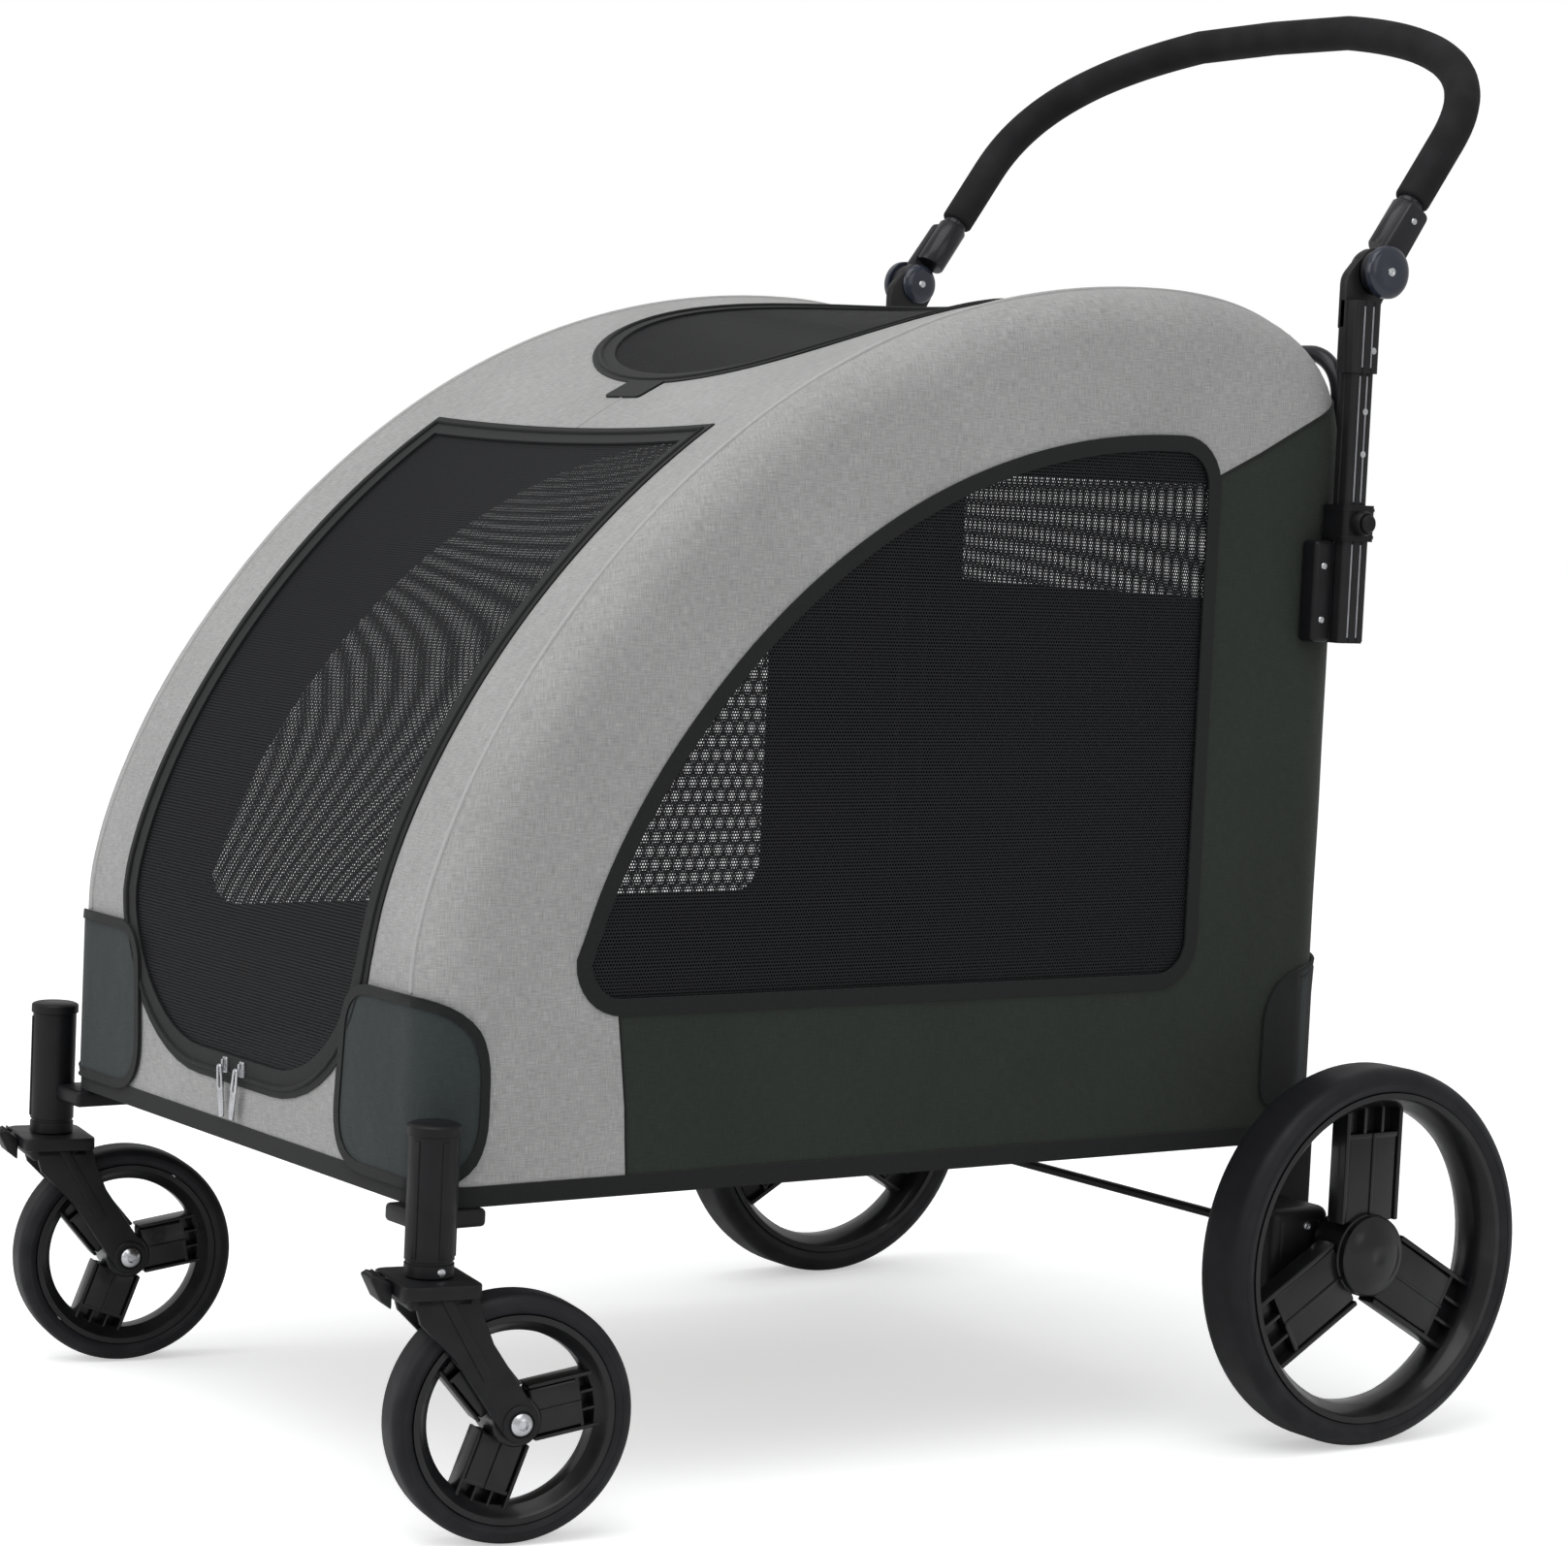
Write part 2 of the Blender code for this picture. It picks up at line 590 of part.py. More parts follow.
def wheel_tyre(name, radius, width, thick, mat, parent):
    half = width / 2
    inner = radius - thick
    profile = [(-half + 0.003, inner), (-half, radius - 0.008), (-half * 0.55, radius - 0.0012), (0, radius),
               (half * 0.55, radius - 0.0012), (half, radius - 0.008), (half - 0.003, inner)]
    return solid(name, lathe(profile, 28, closed=True), mat, parent=parent, smooth=True)


def wheel_rim(name, outer, thick, width, hub, hub_low, hub_high, spoke, spoke_half, bore, turn, mat, parent):
    """A rim band, a hub and three spokes, the first one turned from upright."""
    half = width / 2 - 0.002
    inner = outer - thick
    band = [(-half, inner + 0.003), (-half, outer), (half, outer), (half, inner + 0.003), (0, inner)]
    rim = solid(name, lathe(band, 28, closed=True), mat, parent=parent, smooth=True)
    core = [(hub_low, bore), (hub_low, hub), (hub_high, hub), (hub_high, bore)]
    combine(rim, lathe(core, 18, closed=True), "UNION", parent=parent)
    for k in range(3):
        arm = block((-spoke_half, -spoke / 2, (hub + bore) / 2), (spoke_half, spoke / 2, inner + 0.004))
        bmesh.ops.rotate(arm, verts=arm.verts, cent=(0, 0, 0),
                         matrix=Matrix.Rotation(turn + 2 * pi * k / 3, 3, "X"))
        combine(rim, arm, "UNION", parent=parent)
    return rim


def caster(side, name, black, rubber, steel):
    swivel = empty(f"swivel_{name}", (side * SWIVEL_HALF_TRACK, AXLE_Y - WHEELBASE, 0), turn=CASTER_TURN)
    spin = empty(f"front_wheel_{name}", (0, CASTER_TRAIL, FRONT_RADIUS), parent=swivel)
    crown_low = CROWN_TOP_Z - CROWN_THICK
    crown = block((-CROWN_WIDTH / 2, -0.026, crown_low), (CROWN_WIDTH / 2, 0.026, CROWN_TOP_Z), 0.003)
    fork = solid(f"caster_fork_{name}", crown, black, parent=swivel)
    combine(fork, lathe([(CROWN_TOP_Z - 0.004, STEM_RADIUS), (0.248, STEM_RADIUS)], 20, axis="Z"), "UNION",
            parent=swivel)
    eye = arc((CASTER_TRAIL, FRONT_RADIUS), 0.0125, 25, -155, 8)
    outline = [(-0.018, CROWN_TOP_Z - 0.004), (0.024, CROWN_TOP_Z - 0.004), (0.026, crown_low - 0.010)] + eye
    leg_in = FRONT_WIDTH / 2 + 0.003
    for low in (leg_in, -leg_in - FORK_PLATE):
        leg = prism(outline + [(-0.016, crown_low - 0.006)], low, low + FORK_PLATE)
        combine(fork, leg, "UNION", parent=swivel)
    hole = pin(-0.05, 0.05, FRONT_AXLE_RADIUS + RUNNING_GAP, CASTER_TRAIL, FRONT_RADIUS, 16)
    combine(fork, hole, "DIFFERENCE", parent=swivel)
    lever = [(-0.0263, 0.150), (-0.0263, 0.166), (-0.036, 0.172), (-0.041, 0.170), (-0.034, 0.156)]
    solid(f"swivel_lock_{name}", prism(lever, -0.011, 0.011), black, parent=swivel)
    tyre_in = FRONT_RADIUS - FRONT_TYRE
    wheel_tyre(f"front_tyre_{name}", FRONT_RADIUS, FRONT_WIDTH, FRONT_TYRE, rubber, spin)
    wheel_rim(f"front_rim_{name}", tyre_in - GAP, FRONT_RIM, FRONT_WIDTH, FRONT_HUB_RADIUS,
              -leg_in + 0.001, leg_in - 0.001, FRONT_SPOKE, 0.009, FRONT_AXLE_RADIUS + RUNNING_GAP,
              FRONT_SPOKE_TURN, black, spin)
    end = leg_in + FORK_PLATE + GAP
    bolt = [(-end - 0.005, 0), (-end - 0.005, 0.0065), (-end, 0.0075), (-end, FRONT_AXLE_RADIUS),
            (end, FRONT_AXLE_RADIUS), (end, 0.0075), (end + 0.004, 0.0070), (end + 0.005, 0.005), (end + 0.005, 0)]
    solid(f"front_axle_{name}", lathe(bolt, 18, (0, CASTER_TRAIL, FRONT_RADIUS)), steel, parent=swivel,
          smooth=True)


# ---------------------------------------------------------------- rear wheels and brake

def rear_wheel(side, name, black, rubber):
    spin = empty(f"rear_wheel_{name}", (side * REAR_HALF_TRACK, AXLE_Y, REAR_RADIUS))
    tyre_in = REAR_RADIUS - REAR_TYRE
    wheel_tyre(f"rear_tyre_{name}", REAR_RADIUS, REAR_WIDTH, REAR_TYRE, rubber, spin)
    ends = sorted((-side * 0.020, side * 0.008))
    wheel_rim(f"rear_rim_{name}", tyre_in - GAP, REAR_RIM, REAR_WIDTH, REAR_HUB_RADIUS, *ends, REAR_SPOKE,
              0.0075, REAR_AXLE_RADIUS + RUNNING_GAP, 0.0, black, spin)
    base = 0.008 + GAP
    dome = [(base, 0), (base, 0.0285), (base + 0.005, 0.0285), (base + 0.008, 0.025), (base + 0.0105, 0.013),
            (base + 0.011, 0)]
    solid(f"hub_cap_{name}", lathe(dome, 20), black, side, parent=spin, smooth=True)


def rear_bracket(side, name, black, steel):
    """The bracket under a rear corner, with the brake housing beside the wheel."""
    low_x = BASE_HALF_WIDTH - 0.009
    arm = block((low_x, AXLE_Y - 0.032, REAR_RADIUS - 0.021),
                (low_x + 0.014, AXLE_Y + 0.020, CABIN_BOTTOM_Z - GAP), 0.003)
    bracket = solid(f"rear_bracket_{name}", arm, black, side)
    face_x = REAR_HALF_TRACK - REAR_WIDTH / 2 - 0.003
    housing = block((low_x + 0.008, AXLE_Y - 0.062, REAR_RADIUS - 0.035),
                    (face_x, AXLE_Y - 0.006, REAR_RADIUS + 0.030), 0.006)
    combine(bracket, housing, "UNION", side)
    boss = pin(low_x + 0.0053, face_x + 0.001, 0.0143, AXLE_Y, REAR_RADIUS, 22)
    combine(bracket, boss, "UNION", side)
    bore = pin(low_x + 0.003, face_x + 0.01, REAR_AXLE_RADIUS + GAP, AXLE_Y, REAR_RADIUS, 18)
    combine(bracket, bore, "DIFFERENCE", side)
    inner_end, outer_end = low_x + 0.003 + GAP, REAR_HALF_TRACK + 0.0075
    stub = [(inner_end, 0), (inner_end, REAR_AXLE_RADIUS), (outer_end, REAR_AXLE_RADIUS), (outer_end, 0)]
    solid(f"rear_axle_{name}", lathe(stub, 20, (0, AXLE_Y, REAR_RADIUS)), steel, side, smooth=True)


def brake_bar(black):
    """One bar on the axle line with a pedal at each end, so both brakes act together."""
    reach = BASE_HALF_WIDTH - 0.009 - GAP
    bar = solid("brake_bar", pin(-reach, reach, 0.0035, AXLE_Y, REAR_RADIUS, 12), black, smooth=True)
    for side, _ in SIDES:
        pedal = block((BASE_HALF_WIDTH - 0.041, AXLE_Y - 0.008, REAR_RADIUS - 0.007),
                      (BASE_HALF_WIDTH - 0.013, AXLE_Y + 0.042, REAR_RADIUS + 0.007), 0.003)
        combine(bar, pedal, "UNION", side)


# ---------------------------------------------------------------- rear frame and handle

def rear_frame(metal, black, button):
    path = mirrored_path(hoop_path(HOOP_HINGE_Z - 0.0085))
    hoop = solid("rear_hoop", sweep(path, HOOP_RADIUS, 8), metal, smooth=True)
    for side, name in SIDES:
        hole = pin(HOOP_X - 0.02, HOOP_X + 0.02, HINGE_PIN_RADIUS + RUNNING_GAP, HOOP_Y, HOOP_HINGE_Z, 16)
        combine(hoop, hole, "DIFFERENCE", side)
        upright_sleeve(side, name, metal)
        upright_bracket(side, name, black)
        height_collar(side, name, black, button)


def centred_box(half_x, half_y, low_z, high_z, bevel=0.0):
    """A block round the upright's own axis."""
    return block((UPRIGHT_X - half_x, UPRIGHT_Y - half_y, low_z),
                 (UPRIGHT_X + half_x, UPRIGHT_Y + half_y, high_z), bevel)


def upright_sleeve(side, name, metal):
    body = centred_box(SLEEVE_X / 2, SLEEVE_Y / 2, SLEEVE_LOW_Z, SLEEVE_TOP_Z, 0.0025)
    sleeve = solid(f"upright_sleeve_{name}", body, metal, side)
    bore = centred_box(SLEEVE_X / 2 - SLEEVE_WALL, SLEEVE_Y / 2 - SLEEVE_WALL, SLEEVE_LOW_Z + 0.003,
                       SLEEVE_TOP_Z + 0.01)
    combine(sleeve, bore, "DIFFERENCE", side)


def upright_bracket(side, name, black):
    """Holds the sleeve beside the hoop, with two bosses through the cabin's corner."""
    wall_x = CABIN_HALF_WIDTH + SEAM_GAP
    inner_x = UPRIGHT_X - SLEEVE_X / 2 - GAP
    front_y = UPRIGHT_Y - SLEEVE_Y / 2 - GAP
    low, high = SLEEVE_LOW_Z, BRACKET_TOP_Z
    cheek = block((wall_x, front_y - 0.018, low), (inner_x + 0.012, front_y, high), 0.002)
    bracket = solid(f"upright_bracket_{name}", cheek, black, side)
    plate = block((wall_x + 0.0004, front_y - 0.012, low + 0.004), (inner_x, UPRIGHT_Y + 0.011, high - 0.004))
    combine(bracket, plate, "UNION", side)
    for z in BOSS_HEIGHTS:
        boss = pin(HOOP_X + HOOP_RADIUS + GAP, wall_x + 0.002, 0.005, HOOP_Y, z, 12)
        combine(bracket, boss, "UNION", side)


def height_collar(side, name, black, button):
    low, high = COLLAR_LOW_Z, COLLAR_TOP_Z
    collar = solid(f"height_collar_{name}", centred_box(0.0125, 0.0145, low, high, 0.0015), black, side)
    pad_x = UPRIGHT_X + 0.0195
    pad = block((UPRIGHT_X + 0.011, UPRIGHT_Y - 0.009, low + 0.003), (pad_x, UPRIGHT_Y + 0.009, high - 0.003))
    combine(collar, pad, "UNION", side)
    room = centred_box(SLEEVE_X / 2 + GAP, SLEEVE_Y / 2 + GAP, low - 0.01, high + 0.01)
    combine(collar, room, "DIFFERENCE", side)
    middle = (low + high) / 2
    bore = pin(pad_x - 0.006, pad_x + 0.01, BUTTON_RADIUS + RUNNING_GAP, UPRIGHT_Y, middle)
    combine(collar, bore, "DIFFERENCE", side)
    solid(f"height_button_{name}", pin(pad_x - 0.003, pad_x + 0.003, BUTTON_RADIUS, UPRIGHT_Y, middle), button,
          side)


def telescopic_tube(side, name, metal):
    """The sliding tube, with its adjusting holes and the ear of the handle's pivot."""
    half_x = SLEEVE_X / 2 - SLEEVE_WALL - GAP
    half_y = SLEEVE_Y / 2 - SLEEVE_WALL - GAP
    tube = solid(f"telescopic_tube_{name}", centred_box(half_x, half_y, SLIDE_LOW_Z, SLIDE_TOP_Z - 0.02), metal,
                 side)
    block_x, block_y = SLEEVE_X / 2, SLEEVE_Y / 2
    combine(tube, centred_box(block_x, block_y, SLIDE_BLOCK_Z, SLIDE_TOP_Z, 0.002), "UNION", side)
    combine(tube, centred_box(half_x - 0.0015, half_y - 0.0015, SLIDE_LOW_Z - 0.01, SLIDE_BLOCK_Z + 0.02),
            "DIFFERENCE", side)
    ear_low = UPRIGHT_X - block_x
    combine(tube, pin(ear_low, HUB_X - GAP, PIVOT_EAR_RADIUS, PIVOT_Y, PIVOT_Z, 20), "UNION", side)
    room = block((HUB_X - GAP, UPRIGHT_Y - 0.02, PIVOT_Z - PIVOT_EAR_RADIUS - 0.004),
                 (UPRIGHT_X + 0.03, PIVOT_Y + 0.03, PIVOT_Z + 0.07))
    combine(tube, room, "DIFFERENCE", side)
    pivot_bore = pin(ear_low - 0.01, HUB_X + 0.01, PIN_RADIUS + RUNNING_GAP, PIVOT_Y, PIVOT_Z)
    combine(tube, pivot_bore, "DIFFERENCE", side)
    for z in (SLIDE_BLOCK_Z - 0.057, SLIDE_BLOCK_Z - 0.027):
        hole = pin(UPRIGHT_X - 0.02, UPRIGHT_X + 0.02, SLIDE_HOLE_RADIUS, UPRIGHT_Y + 0.003, z, 12)
        combine(tube, hole, "DIFFERENCE", side)


def on_handle(x, reach):
    """A point of the handle's leaning plane, reach along it from the pivots."""
    return Vector((x, PIVOT_Y + reach * sin(HANDLE_LEAN), PIVOT_Z + reach * cos(HANDLE_LEAN)))


def handle_path(start):
    """The bowed handle from the left arm round to the right one."""
    wide = HANDLE_HALF_WIDTH
    half = [(wide, start), (wide, HANDLE_STRAIGHT)]
    curve = [(wide, HANDLE_STRAIGHT), (wide, HANDLE_REACH - 0.048), (wide - 0.076, HANDLE_REACH - 0.016),
             (wide - 0.181, HANDLE_REACH)]
    half += bezier(curve, 8)[1:]
    half.append((0.0, HANDLE_REACH + 0.002))
    points = half + [(-x, reach) for x, reach in reversed(half[:-1])]
    return [on_handle(x, reach) for x, reach in points]


def handle(metal, foam, black):
    bar = solid("handle_tube", sweep(handle_path(0.030), HANDLE_TUBE, 8), metal, smooth=True)
    turn = Matrix.Rotation(-HANDLE_LEAN, 3, "X")
    for side, name in SIDES:
        cheek = block((HUB_X, PIVOT_Y - 0.011, PIVOT_Z), (HUB_X + HUB_THICK, PIVOT_Y + 0.011, PIVOT_Z + 0.056),
                      0.0015)
        bmesh.ops.rotate(cheek, verts=cheek.verts, cent=(0, PIVOT_Y, PIVOT_Z), matrix=turn)
        combine(bar, cheek, "UNION", side)
        hub = pin(HUB_X, HUB_X + HUB_THICK, PIVOT_EAR_RADIUS - 0.001, PIVOT_Y, PIVOT_Z, 20)
        combine(bar, hub, "UNION", side)
        bore = pin(HUB_X - 0.005, HUB_X + HUB_THICK + 0.01, PIN_RADIUS + GAP, PIVOT_Y, PIVOT_Z)
        combine(bar, bore, "DIFFERENCE", side)
        face = HUB_X + HUB_THICK + GAP
        inner_end = UPRIGHT_X - 0.009
        knob = [(inner_end, 0), (inner_end, PIN_RADIUS), (face, PIN_RADIUS), (face, KNOB_RADIUS),
                (face + 0.005, KNOB_RADIUS), (face + 0.0075, KNOB_RADIUS - 0.003), (face + 0.0085, 0)]
        solid(f"handle_knob_{name}", lathe(knob, 20, (0, PIVOT_Y, PIVOT_Z)), black, side, smooth=True)
    grip = solid("handle_grip", sweep(handle_path(0.064), GRIP_RADIUS, 8), foam, smooth=True)
    combine(grip, sweep(handle_path(0.050), HANDLE_TUBE + GAP, 8), "DIFFERENCE")


# ---------------------------------------------------------------- door zip

def zip_ends(metal):
    """Two sliders at the foot of the door, each with a hanging pull."""
    rear_y = CABIN_FRONT_Y - GAP
    front_y = rear_y - ZIP_SLIDER_THICK
    pull_y = front_y - ZIP_PULL_GAP
    z = CABIN_BOTTOM_Z + DOOR_START + 0.004
    for side, name in SIDES:
        slider = block((ZIP_X - 0.0045, front_y, z - 0.006), (ZIP_X + 0.0045, rear_y, z + 0.006), 0.0012)
        solid(f"zip_slider_{name}", slider, metal, side)
        pull = block((ZIP_X - 0.004, pull_y - ZIP_PULL_THICK, z - ZIP_PULL_LENGTH),
                     (ZIP_X + 0.004, pull_y, z + ZIP_PULL_THICK / 2), 0.0003)
        solid(f"zip_pull_{name}", pull, metal, side)


def main():
    clear_scene()
    light_fabric = material("heather_fabric", (0.30, 0.30, 0.30), 0.9)
    dark_fabric = material("oxford_fabric", (0.03, 0.035, 0.032), 0.85)
    mesh_cloth = material("mesh_cloth", (0.012, 0.013, 0.015), 0.8)
    board = material("floor_board", (0.10, 0.09, 0.08), 0.8)
    pad = material("floor_pad", (0.06, 0.065, 0.07), 0.9)
    coated = material("coated_tube", (0.02, 0.021, 0.024), 0.4, 0.3)
    black = material("black_plastic", (0.012, 0.012, 0.014), 0.45)
    rubber = material("tyre_rubber", (0.014, 0.014, 0.017), 0.7)
    foam = material("grip_foam", (0.018, 0.018, 0.020), 0.9)
    steel = material("steel", (0.55, 0.56, 0.58), 0.3, 1.0)
    base_frame(coated, steel)
    floor(board, pad)
    canopy(light_fabric)
    door_and_hatch(mesh_cloth)
    side_walls(dark_fabric, mesh_cloth)
    rear_wall(dark_fabric, mesh_cloth)
    arch_poles(coated)
    zip_ends(steel)
    front_corners(black)
    for side, name in SIDES:
        caster(side, name, black, rubber, steel)
        rear_wheel(side, name, black, rubber)
        rear_bracket(side, name, black, steel)
        telescopic_tube(side, name, coated)
    brake_bar(black)
    rear_frame(coated, black, black)
    handle(coated, foam, black)


main()
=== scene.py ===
"""Looks of a pet stroller: sewn cabin, mesh windows, casters, braked wheels and a tilting handle."""
import logging
from bisect import bisect_left
from collections.abc import Callable
from dataclasses import dataclass, field
from enum import Enum
from math import ceil, cos, hypot, pi, radians, sin

import bmesh
import bpy
from mathutils import Matrix, Vector


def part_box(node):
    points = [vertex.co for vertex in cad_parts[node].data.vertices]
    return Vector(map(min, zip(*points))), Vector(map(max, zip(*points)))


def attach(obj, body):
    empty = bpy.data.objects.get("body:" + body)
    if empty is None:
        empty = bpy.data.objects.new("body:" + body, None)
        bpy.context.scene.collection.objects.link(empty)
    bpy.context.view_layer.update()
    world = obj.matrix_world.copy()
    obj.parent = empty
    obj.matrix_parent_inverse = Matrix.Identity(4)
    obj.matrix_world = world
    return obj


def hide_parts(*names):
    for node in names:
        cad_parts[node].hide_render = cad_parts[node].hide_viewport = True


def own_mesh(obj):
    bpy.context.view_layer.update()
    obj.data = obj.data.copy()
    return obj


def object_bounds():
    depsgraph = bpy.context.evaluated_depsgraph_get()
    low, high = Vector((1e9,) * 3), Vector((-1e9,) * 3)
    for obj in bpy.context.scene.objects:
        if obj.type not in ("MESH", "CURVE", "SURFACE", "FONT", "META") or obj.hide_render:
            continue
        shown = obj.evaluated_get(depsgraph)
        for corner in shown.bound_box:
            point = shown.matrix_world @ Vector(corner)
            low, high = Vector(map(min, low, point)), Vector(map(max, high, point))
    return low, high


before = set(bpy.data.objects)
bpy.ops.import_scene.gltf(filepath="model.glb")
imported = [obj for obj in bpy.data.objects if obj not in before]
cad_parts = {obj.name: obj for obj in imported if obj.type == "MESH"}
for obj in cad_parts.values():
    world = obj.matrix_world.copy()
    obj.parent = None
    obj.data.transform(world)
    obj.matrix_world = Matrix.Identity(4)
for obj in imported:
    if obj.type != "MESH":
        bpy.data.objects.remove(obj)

logging.basicConfig(level=logging.INFO, format="%(message)s")
LOG = logging.getLogger("stroller")
CAD_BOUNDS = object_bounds()
Point = tuple[float, float]
Colour = tuple[float, float, float]
Surface = Callable[[float, float, float], Vector]
Ripple = Callable[[float, float], float]
SIDES = ((1, "left"), (-1, "right"))
FLOOR_Z = CAD_BOUNDS[0][2]


# ---------------------------------------------------------------- node groups

class Graph:
    """Places and joins the nodes of one material or node group."""

    def __init__(self, tree: bpy.types.NodeTree) -> None:
        """Start on a node tree."""
        self.tree = tree

    def node(self, kind: str, **inputs: object) -> bpy.types.Node:
        """Add a node.

        Args:
            kind: the node's type name, without ShaderNode.
            inputs: socket values or other nodes' sockets; an underscore stands for a space.

        Returns:
            The new node.
        """
        made = self.tree.nodes.new("ShaderNode" + kind if not kind.startswith("NodeGroup") else kind)
        for name, value in inputs.items():
            self.set(made, name.replace("_", " "), value)
        return made

    def set(self, node: bpy.types.Node, name: str | int, value: object) -> None:
        """Give a socket a value or a link."""
        if isinstance(value, bpy.types.NodeSocket):
            self.tree.links.new(value, node.inputs[name])
        else:
            node.inputs[name].default_value = value

    def math(self, operation: str, *values: object) -> bpy.types.NodeSocket:
        """Add a Math node and return its result."""
        made = self.node("Math")
        made.operation = operation
        for i, value in enumerate(values):
            self.set(made, i, value)
        return made.outputs[0]

    def noise(self, vector: bpy.types.NodeSocket, scale: float, detail: float = 3.0,
              stretch: tuple[float, float, float] = (1, 1, 1)) -> bpy.types.NodeSocket:
        """Add noise, stretched along the axes, and return its value."""
        mapped = self.node("Mapping", Vector=vector, Scale=stretch)
        return self.node("TexNoise", Vector=mapped.outputs[0], Scale=scale, Detail=detail).outputs["Fac"]

    def ramp(self, value: bpy.types.NodeSocket, low: float, high: float,
             start: float = 0.0, end: float = 1.0) -> bpy.types.NodeSocket:
        """Map low..high onto start..end, clamped."""
        made = self.node("MapRange")
        for name, number in (("Value", value), ("From Min", low), ("From Max", high), ("To Min", start),
                             ("To Max", end)):
            self.set(made, name, number)
        return made.outputs[0]

    def blend(self, mask: bpy.types.NodeSocket, first: object, second: object) -> bpy.types.NodeSocket:
        """Mix two colours by a mask."""
        made = self.node("Mix")
        made.data_type = "RGBA"
        self.set(made, 0, mask)
        for index, value in ((6, first), (7, second)):
            self.set(made, index, (*value, 1.0) if isinstance(value, tuple) else value)
        return made.outputs[2]

    def group(self, name: "Effect", **inputs: object) -> bpy.types.Node:
        """Place a shared effect with its own values."""
        made = self.node("Group")
        made.node_tree = EFFECTS.tree(name)
        for key, value in inputs.items():
            self.set(made, key.replace("_", " "), value)
        return made


class Effect(Enum):
    """The effects that several finishes share."""

    WEAVE = "Plain weave"
    HOLES = "Net holes"
    GRAIN = "Moulded grain"
    RIBS = "Tape ribs"
    DUST = "Road dust"


